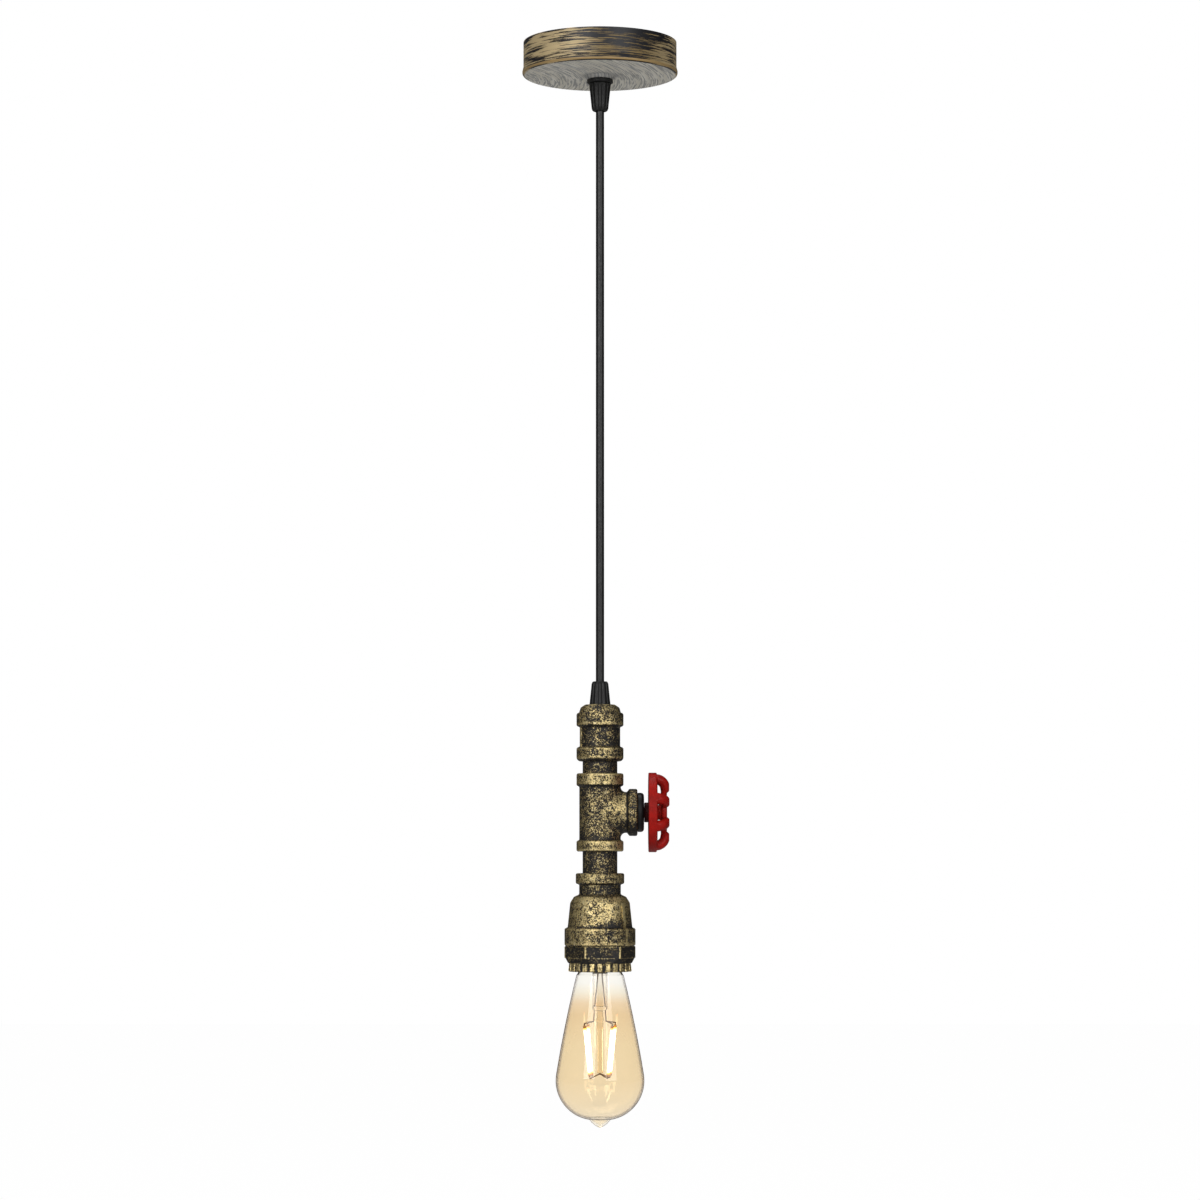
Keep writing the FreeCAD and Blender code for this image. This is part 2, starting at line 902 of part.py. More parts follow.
def bell_reducer():
    top = z_reducer_top
    bottom = z_reducer_bottom
    thread_bore_large = bush_thread_radius + thread_clearance
    thread_top = bottom + bush_thread_length + seat_clearance
    cavity_top = top - reducer_cavity_top
    band_top = bottom + reducer_bottom_band
    brow_top = top - reducer_neck_end - reducer_brow_slope
    shoulder_top = brow_top - reducer_shoulder_slope
    body = turned(
        [
            (thread_bore, top),
            (reducer_top_band_radius, top, 1.2),
            (reducer_top_band_radius, top - reducer_top_band, 1.0),
            (reducer_neck_radius, top - reducer_top_band - recess_slope, 0.5),
            (reducer_neck_radius, top - reducer_neck_end, 0.9),
            (reducer_brow_radius, brow_top, 1.8),
            (reducer_shoulder_radius, shoulder_top, reducer_shoulder_rounding),
            (reducer_skirt_radius, band_top + 1.0, 0.6),
            (reducer_bottom_band_radius, band_top, 0.9),
            (reducer_bottom_band_radius, bottom, 1.0),
            (thread_bore_large, bottom),
            (thread_bore_large, thread_top),
            (reducer_cavity_radius, thread_top),
            (reducer_cavity_radius, cavity_top, reducer_cavity_rounding),
            (thread_bore, top - thread_engagement - reducer_throat),
        ]
    )
    for side in (0, 180):
        body = body.fuse(
            seam_rib(
                reducer_rib_angle + side,
                reducer_shoulder_radius,
                top - reducer_shoulder_end,
                reducer_skirt_radius,
                band_top,
            )
        )
    return body.removeSplitter()


def hex_bush():
    thread_top = z_reducer_bottom + bush_thread_length
    hexagon = prism(hex_across_flats, z_reducer_bottom - hex_height, z_reducer_bottom, hex_turn)
    corner = hex_across_flats / math.sqrt(3)
    round_off = turned(
        [
            (0, z_reducer_bottom - hex_height),
            (corner - 0.3, z_reducer_bottom - hex_height),
            (corner + 0.1, z_reducer_bottom - hex_height + 0.5),
            (corner + 0.1, z_reducer_bottom - 0.7),
            (corner - hex_corner_cut, z_reducer_bottom),
            (0, z_reducer_bottom),
        ]
    )
    cone = turned(
        [
            (0, z_hex_bottom),
            (hex_cone_radius, z_hex_bottom),
            (corner, z_reducer_bottom - hex_height + hex_cone_overlap),
            (0, z_reducer_bottom - hex_height + hex_cone_overlap),
        ]
    )
    wide_hexagon = prism(hex_across_flats, z_hex_bottom, z_reducer_bottom, hex_turn)
    head = hexagon.common(round_off).fuse(cone.common(wide_hexagon))
    thread = cylinder(bush_thread_radius, z_reducer_bottom - 1, thread_top)
    ledge_bore = holder_collar_radius + hole_clearance
    bores = [
        cylinder(ledge_bore, z_hex_bottom - 1, z_ledge + 1),
        cylinder(hex_bore, z_ledge, thread_top + 1),
    ]
    return head.fuse(thread).cut(bores).removeSplitter()


def fluted_ring():
    inner = holder_collar_radius + thread_clearance
    ring = turned(
        [
            (inner, z_hex_bottom),
            (ring_top_radius, z_hex_bottom),
            (ring_bottom_radius, z_ring_bottom, 0.6),
            (ring_mouth_radius, z_ring_bottom, 0.4),
            (ring_mouth_radius, z_collar_end),
            (inner, z_collar_end),
        ]
    )
    cutter = cylinder(
        flute_radius, z_ring_bottom - 1, z_hex_bottom + 1, ring_bottom_radius + flute_radius - flute_depth
    )
    return ring.cut(around(cutter, flute_count, first=from_viewer(0) + 180.0 / flute_count))


# Lampholder


def lampholder_body():
    body = turned(
        [
            (holder_bore, z_collar_end),
            (holder_collar_radius, z_collar_end, 0.4),
            (holder_collar_radius, z_ledge),
            (holder_radius, z_ledge, 0.8),
            (holder_radius, z_holder_top, 1.5),
            (0, z_holder_top),
            (0, z_holder_floor),
            (holder_bore, z_holder_floor),
        ]
    )
    return body


def screw_shell():
    top = z_holder_floor
    bottom = top - shell_length
    inner = shell_outer - shell_wall
    return turned(
        [
            (shell_outer, bottom),
            (shell_outer, top),
            (shell_top_hole, top),
            (shell_top_hole, top - shell_wall),
            (inner, top - shell_wall),
            (inner, bottom),
        ]
    )


def contact_spring():
    """Folded brass strip that presses on the bulb's centre contact."""
    foot = z_holder_floor - spring_sheet
    half = spring_width / 2
    reach = spring_reach
    return box((-reach, reach), (-half, half), (foot, z_holder_floor)).fuse(
        [
            box((reach - spring_sheet, reach), (-half, half), (z_spring, foot)),
            box((-reach, reach), (-half, half), (z_spring, z_spring + spring_sheet)),
        ]
    ).removeSplitter()


def holder_terminals():
    posts = []
    for degrees in (0, 120, 240):
        low = z_holder_top
        post = box(
            (post_circle - post_size / 2, post_circle + post_size / 2),
            (-post_size / 2, post_size / 2),
            (low, low + post_height),
        )
        screw_hole = Part.makeCylinder(
            clamp_screw_radius, post_size, Vector(post_circle, 0, low + post_height / 2), Vector(1, 0, 0)
        )
        post = post.cut(screw_hole)
        post.rotate(Vector(0, 0, 0), Vector(0, 0, 1), degrees)
        posts.append(post)
    return posts


def holder_terminal_screws():
    screws = []
    for degrees in (0, 120, 240):
        screw = pan_screw(
            clamp_screw_radius,
            clamp_screw_head_radius,
            clamp_screw_head,
            post_size / 2,
            (post_circle + post_size / 2, 0, z_holder_top + post_height / 2),
            Vector(-1, 0, 0),
        )
        screw.rotate(Vector(0, 0, 0), Vector(0, 0, 1), degrees)
        screws.append(screw)
    return screws


# Switch and handwheel, built along Z as distance from the pipe axis and laid on to the branch


def tee_plug():
    hole = spindle_radius + spindle_clearance
    start = branch_reach - plug_thread_length
    return along_branch(
        turned(
            [
                (hole, start),
                (thread_radius, start, 0.5),
                (thread_radius, branch_reach),
                (plug_head_radius, branch_reach, 0.6),
                (plug_head_radius, branch_reach + plug_head_length, plug_rounding),
                (hole, branch_reach + plug_head_length),
            ]
        )
    )


def rotary_switch():
    front = branch_reach - plug_thread_length
    back = switch_back()
    hole = spindle_radius + spindle_clearance
    body = along_branch(
        turned(
            [
                (0, back),
                (switch_radius, back, switch_rounding),
                (switch_radius, front),
                (hole, front),
                (hole, front - spindle_depth - seat_clearance),
                (0, front - spindle_depth - seat_clearance),
            ]
        )
    )
    return body


def switch_tabs():
    back = switch_back()
    tabs = []
    for side in (-1, 1):
        z = z_branch + side * switch_tab_offset
        tabs.append(
            box(
                (back - switch_tab.x, back),
                (-switch_tab.y / 2, switch_tab.y / 2),
                (z - switch_tab.z / 2, z + switch_tab.z / 2),
            )
        )
    return tabs


def plate_back():
    return plate_front - plate_thickness


def spindle():
    start = branch_reach - plug_thread_length - spindle_depth
    end = wheel_rear + plate_front - wheel_screw_head - 0.1
    shaft = cylinder(spindle_radius, start, end)
    return along_branch(shaft.cut(cylinder(wheel_screw_radius, end - wheel_screw_length, end + 1)))


def collar_start():
    return branch_reach + plug_head_length + running_gap


def spindle_collar():
    start = collar_start()
    return along_branch(
        turned(
            [
                (spindle_radius, start),
                (collar_radius, start, 0.5),
                (collar_radius, start + collar_length, 0.8),
                (spindle_radius, start + collar_length),
            ]
        )
    )


def wheel_arm(crest):
    """Arm of two rods side by side, so that it is wider round the wheel than it is deep, with round ends."""
    rods = []
    for y in (-arm_spread, arm_spread):
        route = [
            (arm_start_radius, y, wheel_rear + arm_radius + running_gap / 4),
            (arm_start_radius, y, crest),
            (arm_end_radius, y, crest),
        ]
        rods.append(rod(route, arm_radius, arm_bend))
        rods.append(Part.makeSphere(arm_radius, Vector(*route[-1])))
    return rods[0].fuse(rods[1:])


def handwheel():
    ring = turned(
        [
            (wheel_ring_inner, wheel_rear, 0.6),
            (wheel_radius - 0.25, wheel_rear, 1.2),
            (wheel_radius, wheel_rear + wheel_ring_depth, 1.4),
            (wheel_ring_inner, wheel_rear + wheel_ring_depth, 1.2),
        ]
    )
    back = wheel_rear + plate_back()
    front = wheel_rear + plate_front
    plate = turned(
        [
            (spindle_radius, collar_start() + collar_length),
            (hub_radius, collar_start() + collar_length, 0.4),
            (hub_radius, back, 1.0),
            (plate_radius, back, 0.9),
            (plate_radius, front, 1.2),
            (wheel_screw_head_radius + hole_clearance, front),
            (wheel_screw_head_radius + hole_clearance, front - wheel_screw_head - 0.1),
            (spindle_radius, front - wheel_screw_head - 0.1),
        ]
    )
    crest = wheel_rear + arm_crest - arm_radius
    arms = around(wheel_arm(crest), arm_count, first=arm_turn)
    return along_branch(ring.fuse(arms + [plate]).removeSplitter())


def wheel_screw():
    seat = wheel_rear + plate_front - wheel_screw_head - 0.1
    length = wheel_screw_length - seat_clearance
    screw = pan_screw(wheel_screw_radius, wheel_screw_head_radius, wheel_screw_head, length, (0, 0, seat))
    return along_branch(screw)


# Bulb


def glass_wire(inset):
    """Half section of the glass, inset by a wall, from the neck to the exhaust tip and back up the axis."""
    bottom = z_glass_end
    belly = Vector(belly_arc_offset, 0, bottom + belly_lift)
    radius = belly_arc_radius - inset
    flank = math.radians(flank_angle)
    belly_start = belly + Vector(radius * math.cos(flank), 0, radius * math.sin(flank))
    tip_radius_here = exhaust_tip_radius - inset
    under = math.acos((tip_radius_here - belly.x) / radius)
    middle_angle = (flank - under) / 2
    belly_middle = belly + Vector(radius * math.cos(middle_angle), 0, radius * math.sin(middle_angle))
    belly_end = belly + Vector(radius * math.cos(under), 0, -radius * math.sin(under))
    neck_top = Vector(neck_radius - inset, 0, z_cap_end)
    neck_low = neck_top + Vector(0, 0, -neck_length)
    shoulder = Vector(neck_shoulder_radius - inset, 0, z_cap_end - neck_shoulder_drop)
    flare = (neck_low + shoulder) * 0.5 + Vector(-0.3, 0, 0.0)
    middle = Vector(glass_mid_radius - inset, 0, z_cap_end - glass_mid_drop)
    tip_end = Vector(0, 0, bottom - exhaust_tip_length + 2 * inset)
    tip_round = Vector(tip_radius_here * 0.15, 0, tip_end.z + 0.4)
    tip_middle = (belly_end + tip_round) * 0.5 + Vector(exhaust_tip_bulge, 0, -exhaust_tip_bulge / 2)
    edges = [
        Part.LineSegment(neck_top, neck_low).toShape(),
        Part.Arc(neck_low, flare, shoulder).toShape(),
        Part.Arc(shoulder, middle, belly_start).toShape(),
        Part.Arc(belly_start, belly_middle, belly_end).toShape(),
        Part.Arc(belly_end, tip_middle, tip_round).toShape(),
        Part.LineSegment(tip_round, tip_end).toShape(),
    ]
    top = Vector(0, 0, z_cap_end)
    edges.append(Part.LineSegment(tip_end, top).toShape())
    edges.append(Part.LineSegment(top, neck_top).toShape())
    return Part.Wire(edges)


def bulb_glass():
    axis = (Vector(0, 0, 0), Vector(0, 0, 1), 360)
    outer, inner = [Part.Face(glass_wire(inset)).revolve(*axis) for inset in (0.0, glass_wall)]
    return outer.cut(inner)


def bulb_cap():
    """Brass screw cap with rolled threads, narrowing to the insulator."""
    top = z_cap_end + cap_length
    wall = cap_wall
    shoulder = top - cap_shoulder
    valley = cap_radius - cap_roll_depth
    outer = [(0, z_cap_end), (neck_radius + hole_clearance, z_cap_end)]
    start = z_cap_end + cap_roll_start
    for k in range(cap_rolls):
        z = start + k * cap_roll_pitch
        outer += [(valley, z, 0.9), (cap_radius, z + cap_roll_pitch / 2, 0.9)]
    outer += [(valley, shoulder, 0.8), (cap_top_radius, top)]
    body = turned(outer + [(0, top)])
    hollow = turned(
        [
            (0, z_cap_end),
            (neck_radius - wall, z_cap_end),
            (valley - wall, start),
            (valley - wall, shoulder - wall / 2),
            (cap_top_radius - wall, top - wall),
            (0, top - wall),
        ]
    )
    return body.cut([hollow, cylinder(insulator_top_radius, top - 1, top + 1)])


def cap_insulator():
    top = z_cap_end + cap_length
    return turned(
        [
            (0, top - cap_wall),
            (insulator_top_radius, top - cap_wall),
            (insulator_top_radius, top),
            (cap_top_radius - cap_wall, top),
            (insulator_top_radius, top + insulator_height),
            (0, top + insulator_height),
        ]
    )


def cap_contact():
    top = z_cap_end + cap_length + insulator_height
    return turned([(0, top), (tip_radius, top), (tip_radius, z_tip, 0.8), (0, z_tip)])


def drop(depth):
    """Height at a depth below the end of the bulb's cap."""
    return z_cap_end - depth


def glass_stem():
    """Flared tube that rests on the neck, pressed shut at its end, with the rod and bead below it."""
    tube_in = stem_tube_radius - stem_tube_wall
    tube_end = drop(stem_tube_drop)
    stem = turned(
        [
            (0, tube_end + stem_press_height),
            (tube_in, tube_end + stem_press_height, 1.0),
            (tube_in, drop(stem_flare_drop - stem_tube_wall), 1.6),
            (stem_flare_radius - stem_tube_wall, z_cap_end + stem_rim_height),
            (stem_rim_radius, z_cap_end + stem_rim_height),
            (stem_rim_radius, z_cap_end),
            (stem_flare_radius, z_cap_end, 0.3),
            (stem_tube_radius, drop(stem_flare_drop), 2.2),
            (stem_tube_radius, tube_end, 1.4),
            (stem_rod_radius, tube_end, 0.5),
            (stem_rod_radius, drop(rod_end_drop)),
            (0, drop(rod_end_drop)),
        ]
    )
    bead = Part.makeSphere(bead_radius, Vector(0, 0, drop(bead_drop)))
    return stem.fuse(bead).cut([lead(side) for side in (-1, 1)]).removeSplitter()


def filament_angles():
    return [filament_turn + 90 * k for k in range(4)]


def filament_line(degrees):
    """Top and bottom point of one filament's axis, without its end caps."""
    top = polar(filament_top_circle, degrees, drop(filament_top_drop))
    bottom = polar(filament_bottom_circle, degrees, drop(filament_top_drop + filament_length))
    return top, bottom


def filaments():
    sticks = []
    for degrees in filament_angles():
        top, bottom = filament_line(degrees)
        sticks.append(Part.makeCylinder(filament_radius, top.distanceToPoint(bottom), top, bottom - top))
    return sticks


def filament_caps():
    caps = []
    for degrees in filament_angles():
        top, bottom = filament_line(degrees)
        down = (bottom - top).normalize()
        caps.append(Part.makeCylinder(filament_cap_radius, filament_cap_length, top, down * -1))
        caps.append(Part.makeCylinder(filament_cap_radius, filament_cap_length, bottom, down))
    return caps


def knee(side):
    return Vector(side * lead_knee_offset, 0, drop(lead_knee_drop))


def lead(side):
    """Lead from inside the cap, down the tube, through its press and out to where it branches."""
    start = (side * lead_start_offset, 0, z_cap_end + lead_start_height)
    pressed = (side * lead_press_offset, 0, drop(stem_tube_drop) + stem_press_height)
    return rod([start, pressed, knee(side)], wire_radius, core_bend)


def lead_wires():
    """Two leads, each branching to two filament tops."""
    wires = []
    for side, pair in ((1, (0, 3)), (-1, (1, 2))):
        wire = lead(side).fuse(Part.makeSphere(wire_radius, knee(side)))
        for k in pair:
            top, bottom = filament_line(filament_angles()[k])
            up = (top - bottom).normalize()
            tip = top + up * filament_cap_length
            bend = tip + up * filament_wire_bend
            wire = wire.fuse(rod([knee(side), bend, tip], wire_radius, 0.6))
        wires.append(wire)
    return wires


def bottom_star():
    """Wires from the rod's end that join the filament bottoms."""
    centre = Vector(0, 0, drop(rod_end_drop) - wire_radius)
    hub = 2 * wire_radius
    star = Part.makeSphere(hub, centre).common(cylinder(hub, centre.z - hub, centre.z + wire_radius))
    for degrees in filament_angles():
        top, bottom = filament_line(degrees)
        down = (bottom - top).normalize()
        tip = bottom + down * filament_cap_length
        bend = tip + down * filament_wire_bend
        star = star.fuse(rod([centre, bend, tip], wire_radius, 0.6))
    return star


def nodes():
    """Every named piece of the light, one solid or a group of separate solids each."""
    return {
        "ceiling_bracket": ceiling_bracket(),
        "rose_cover": rose_cover(),
        "terminal_block": terminal_block(),
        "terminal_tubes": terminal_tubes(),
        "terminal_screws": terminal_screws(),
        "block_screws": block_screws(),
        "earth_screw": earth_screw(),
        "upper_grip_base": grip_base(z_rose_seat, True),
        "upper_grip_nut": grip_nut(z_rose_seat - grip_flange_height, z_upper_mouth),
        "upper_grip_collet": grip_collet(z_rose_seat - grip_flange_height, z_upper_mouth),
        "upper_lock_nut": lock_nut(z_strap_top),
        "flex_in_rose": flex_in_rose(),
        "rose_live_core": rose_core(-60, -block_pitch),
        "rose_neutral_core": rose_core(60, block_pitch),
        "rose_earth_core": rose_earth_core(),
        "suspension_flex": suspension_flex(),
        "lower_grip_nut": grip_nut(z_lower_flange_top, z_lower_mouth),
        "lower_grip_collet": grip_collet(z_lower_flange_top, z_lower_mouth),
        "lower_grip_base": grip_base(z_lower_flange_top, False),
        "lower_lock_nut": lock_nut(z_cup_floor - bush_floor - lock_nut_height),
        "top_bush": top_bush(),
        "pipe_socket": pipe_socket(),
        "upper_nipple": nipple(z_socket_bottom, z_tee_top),
        "pipe_tee": pipe_tee(),
        "lower_nipple": nipple(z_tee_bottom, z_reducer_top),
        "bell_reducer": bell_reducer(),
        "hex_bush": hex_bush(),
        "fluted_ring": fluted_ring(),
        "flex_in_pipe": flex_in_pipe(),
        "pipe_live_core": pipe_live_core(),
        "switch_return_core": switch_return_core(),
        "pipe_neutral_core": straight_core(120),
        "pipe_earth_core": straight_core(240),
        "lampholder_body": lampholder_body(),
        "screw_shell": screw_shell(),
        "contact_spring": contact_spring(),
        "holder_terminals": holder_terminals(),
        "holder_terminal_screws": holder_terminal_screws(),
        "tee_plug": tee_plug(),
        "rotary_switch": rotary_switch(),
        "switch_tabs": switch_tabs(),
        "spindle": spindle(),
        "spindle_collar": spindle_collar(),
        "handwheel": handwheel(),
        "wheel_screw": wheel_screw(),
        "bulb_glass": bulb_glass(),
        "bulb_cap": bulb_cap(),
        "cap_insulator": cap_insulator(),
        "cap_contact": cap_contact(),
        "glass_stem": glass_stem(),
        "lead_wires": lead_wires(),
        "bottom_star": bottom_star(),
        "led_filaments": filaments(),
        "filament_caps": filament_caps(),
    }


os.makedirs("parts", exist_ok=True)
print("suspension flex: one straight run of", flex_free_length, "mm, no arcs")
print("core bend radius:", core_bend, "mm")
for node, shape in nodes().items():
    solids = shape if isinstance(shape, list) else shape.Solids
    whole = Part.makeCompound(solids) if len(solids) > 1 else solids[0]
    whole.exportStep("parts/" + node + ".step")
    print(node, len(solids), whole.isValid(), round(whole.Volume, 1))
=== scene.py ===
"""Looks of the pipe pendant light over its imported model: cord, cast pieces, finishes, light and camera.

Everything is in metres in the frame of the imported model. Finishes work in millimetres of each object's own
space.
"""

import bpy
import math
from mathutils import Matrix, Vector

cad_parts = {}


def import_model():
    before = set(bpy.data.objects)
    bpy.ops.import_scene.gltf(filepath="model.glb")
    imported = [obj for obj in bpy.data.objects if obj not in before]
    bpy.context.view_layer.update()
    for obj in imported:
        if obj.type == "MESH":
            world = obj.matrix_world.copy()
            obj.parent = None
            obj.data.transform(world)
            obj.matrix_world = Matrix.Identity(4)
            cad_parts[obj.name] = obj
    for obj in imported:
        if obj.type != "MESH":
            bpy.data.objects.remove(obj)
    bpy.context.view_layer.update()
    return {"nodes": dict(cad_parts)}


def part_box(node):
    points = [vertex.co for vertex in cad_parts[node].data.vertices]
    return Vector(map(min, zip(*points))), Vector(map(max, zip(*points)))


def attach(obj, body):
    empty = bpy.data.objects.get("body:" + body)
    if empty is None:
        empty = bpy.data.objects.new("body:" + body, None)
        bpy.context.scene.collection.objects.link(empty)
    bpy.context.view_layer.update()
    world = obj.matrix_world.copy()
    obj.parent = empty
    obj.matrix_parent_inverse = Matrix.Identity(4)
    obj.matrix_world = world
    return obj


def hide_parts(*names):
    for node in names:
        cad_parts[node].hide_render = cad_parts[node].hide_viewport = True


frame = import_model()

scene = bpy.context.scene
scene.view_settings.view_transform = "Standard"

# Camera: the photograph is photo_pixels wide and high
photo_pixels = 1200
focal_pixels = 3700
sensor_width = 36.0
camera_distance = 2.317564
camera_height = -0.50733
camera_pitch = 3.788379
camera_reach = 50.0


def ends(node):
    """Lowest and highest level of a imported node, in millimetres."""
    low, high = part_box(node)
    return low.z * 1000, high.z * 1000


# Levels that the finishes follow, in millimetres. The rose's collar lies under its floor
rose_collar = 2.4
rose_bottom = ends("rose_cover")[0] + rose_collar
socket_bottom, socket_top = ends("pipe_socket")
tee_bottom, tee_top = ends("pipe_tee")
reducer_bottom, reducer_top = ends("bell_reducer")
hex_bottom = ends("hex_bush")[0]
ring_bottom, ring_top = ends("fluted_ring")
glass_bottom, glass_top = ends("bulb_glass")
filament_bottom, filament_top = ends("led_filaments")

# Radii, and places along the branch, in millimetres. The reducer's seam ribs stand at an angle in degrees
rose_floor_radius = 47.9
rose_rim_radius = 49.0
socket_body_radius = 12.8
socket_rib_radius = 13.3
hex_corner_radius = 21.95
ring_crest_radius = 19.2
branch_root = -2.0
branch_groove = 17.0
reducer_rib_angle = -41.0
reducer_rib_half = 1.0

# Flexible cord, in metres
flex_ends = (-0.0438, -0.405)
flex_diameter = 0.0052
flex_straight = 0.031

# Handwheel's casting, in metres
cast_voxel = 0.0004
cast_swell = 0.00045
cast_hub = 0.007
cast_hub_fade = 0.002
cast_rounds = 8

# Glass
glass_bend = 1.38

# Light
world_dimmest = 0.015
world_brightest = 0.5
world_front = (0.0, -0.94, 0.34)
floor_height = -1.05
floor_half = 9.0
floor_grey = 0.6
floor_glow = 1.12
floor_glow_share = 0.87


def linear(code):
    """Linear colour of a hexadecimal screen colour."""
    parts = [int(code[i:i + 2], 16) / 255 for i in (0, 2, 4)]
    return tuple(c / 12.92 if c <= 0.04045 else ((c + 0.055) / 1.055) ** 2.4 for c in parts) + (1.0,)


class Finish:
    """One material's node tree, with short calls for the nodes that the finishes share."""

    def __init__(self, name):
        self.material = bpy.data.materials.new(name)
        self.material.use_nodes = True
        self.tree = self.material.node_tree
        self.shader = self.tree.nodes["Principled BSDF"]
        coordinates = self.node("ShaderNodeTexCoord")
        scale = self.node("ShaderNodeVectorMath", operation="SCALE")
        self.put(scale.inputs[0], coordinates.outputs["Object"])
        self.put(scale.inputs["Scale"], 1000.0)
        self.place = scale.outputs[0]
        self.facing = coordinates.outputs["Normal"]

    def node(self, kind, **settings):
        made = self.tree.nodes.new(kind)
        for key, value in settings.items():
            setattr(made, key, value)
        return made

    def put(self, socket, value):
        """Links an output to the socket, or sets the socket's own value."""
        if isinstance(value, bpy.types.NodeSocket):
            self.tree.links.new(value, socket)
        else:
            socket.default_value = value

    def set(self, **values):
        """Sets sockets of the shader, named with underscores for spaces."""
        for key, value in values.items():
            self.put(self.shader.inputs[key.replace("_", " ")], value)

    def math(self, operation, first, second=0.0):
        made = self.node("ShaderNodeMath", operation=operation)
        self.put(made.inputs[0], first)
        self.put(made.inputs[1], second)
        return made.outputs[0]

    def times(self, first, second):
        return self.math("MULTIPLY", first, second)

    def minus(self, first, second):
        return self.math("SUBTRACT", first, second)

    def plus(self, first, second, weight=1.0):
        """first and weight times second."""
        return self.math("ADD", first, second if weight == 1.0 else self.times(second, weight))

    def off(self, value, centre):
        """Distance of the value from the centre."""
        return self.math("ABSOLUTE", self.minus(value, centre))

    def vector(self, operation, first, second=(0.0, 0.0, 0.0)):
        made = self.node("ShaderNodeVectorMath", operation=operation)
        self.put(made.inputs[0], first)
        self.put(made.inputs[1], second)
        gives_number = operation in ("LENGTH", "DISTANCE", "DOT_PRODUCT")
        return made.outputs["Value" if gives_number else "Vector"]

    def axes(self, vector):
        made = self.node("ShaderNodeSeparateXYZ")
        self.put(made.inputs[0], vector)
        return made.outputs[0], made.outputs[1], made.outputs[2]

    def combine(self, x, y, z):
        made = self.node("ShaderNodeCombineXYZ")
        for socket, value in zip(made.inputs, (x, y, z)):
            self.put(socket, value)
        return made.outputs[0]

    def radius(self):
        """Distance from the vertical axis."""
        return self.vector("LENGTH", self.vector("MULTIPLY", self.place, (1.0, 1.0, 0.0)))

    def height(self):
        return self.axes(self.place)[2]

    def across(self, degrees):
        """Distance from the upright plane through the axis that lies at the angle."""
        angle = math.radians(degrees)
        return self.vector("DOT_PRODUCT", self.place, (-math.sin(angle), math.cos(angle), 0.0))

    def noise(self, size, detail=3.0, rough=0.55, stretch=(1.0, 1.0, 1.0), seed=0.0, place=None, warp=0.0):
        """Noise with features of about the size in millimetres, longer along an axis with less stretch."""
        placed = self.vector("MULTIPLY", place or self.place, stretch)
        made = self.node("ShaderNodeTexNoise")
        self.put(made.inputs["Vector"], self.vector("ADD", placed, (seed * 37.1, seed * 11.7, seed * 23.3)))
        self.put(made.inputs["Scale"], 1.0 / size)
        self.put(made.inputs["Detail"], detail)
        self.put(made.inputs["Roughness"], rough)
        self.put(made.inputs["Distortion"], warp)
        return made.outputs[0]

    def between(self, value, low, high):
        """0 at low and 1 at high, smooth between. Low may be the greater."""
        made = self.node("ShaderNodeMapRange", interpolation_type="SMOOTHSTEP")
        self.put(made.inputs["Value"], value)
        self.put(made.inputs["From Min"], low)
        self.put(made.inputs["From Max"], high)
        return made.outputs[0]

    def ramp(self, value, stops):
        """Colour on straight runs between the (value, colour) stops, which go from the lowest up."""
        low, high = stops[0][0], stops[-1][0]
        made = self.node("ShaderNodeValToRGB")
        elements = made.color_ramp.elements
        while len(elements) < len(stops):
            elements.new(0.5)
        for element, (place, colour) in zip(elements, stops):
            element.position = (place - low) / (high - low)
        for element, (place, colour) in zip(elements, stops):
            element.color = colour
        self.put(made.inputs[0], self.math("DIVIDE", self.minus(value, low), high - low))
        return made.outputs[0]

    def profile(self, value, stops):
        """Number on straight runs between the (value, number) stops, which go from the lowest up."""
        return self.ramp(value, [(place, (level, level, level, 1.0)) for place, level in stops])

    def mix(self, factor, first, second):
        """Colour between two colours."""
        made = self.node("ShaderNodeMix", data_type="RGBA")
        for index, value in ((0, factor), (6, first), (7, second)):
            self.put(made.inputs[index], value)
        return made.outputs[2]

    def blend(self, factor, first, second):
        """Number between two numbers."""
        made = self.node("ShaderNodeMix", data_type="FLOAT")
        for index, value in ((0, factor), (2, first), (3, second)):
            self.put(made.inputs[index], value)
        return made.outputs[0]

    def bump(self, height, depth, strength=1.0):
        """Relief of the height, its full range being the depth in millimetres."""
        made = self.node("ShaderNodeBump")
        self.put(made.inputs["Strength"], strength)
        self.put(made.inputs["Distance"], depth / 1000)
        self.put(made.inputs["Height"], height)
        self.set(Normal=made.outputs[0])


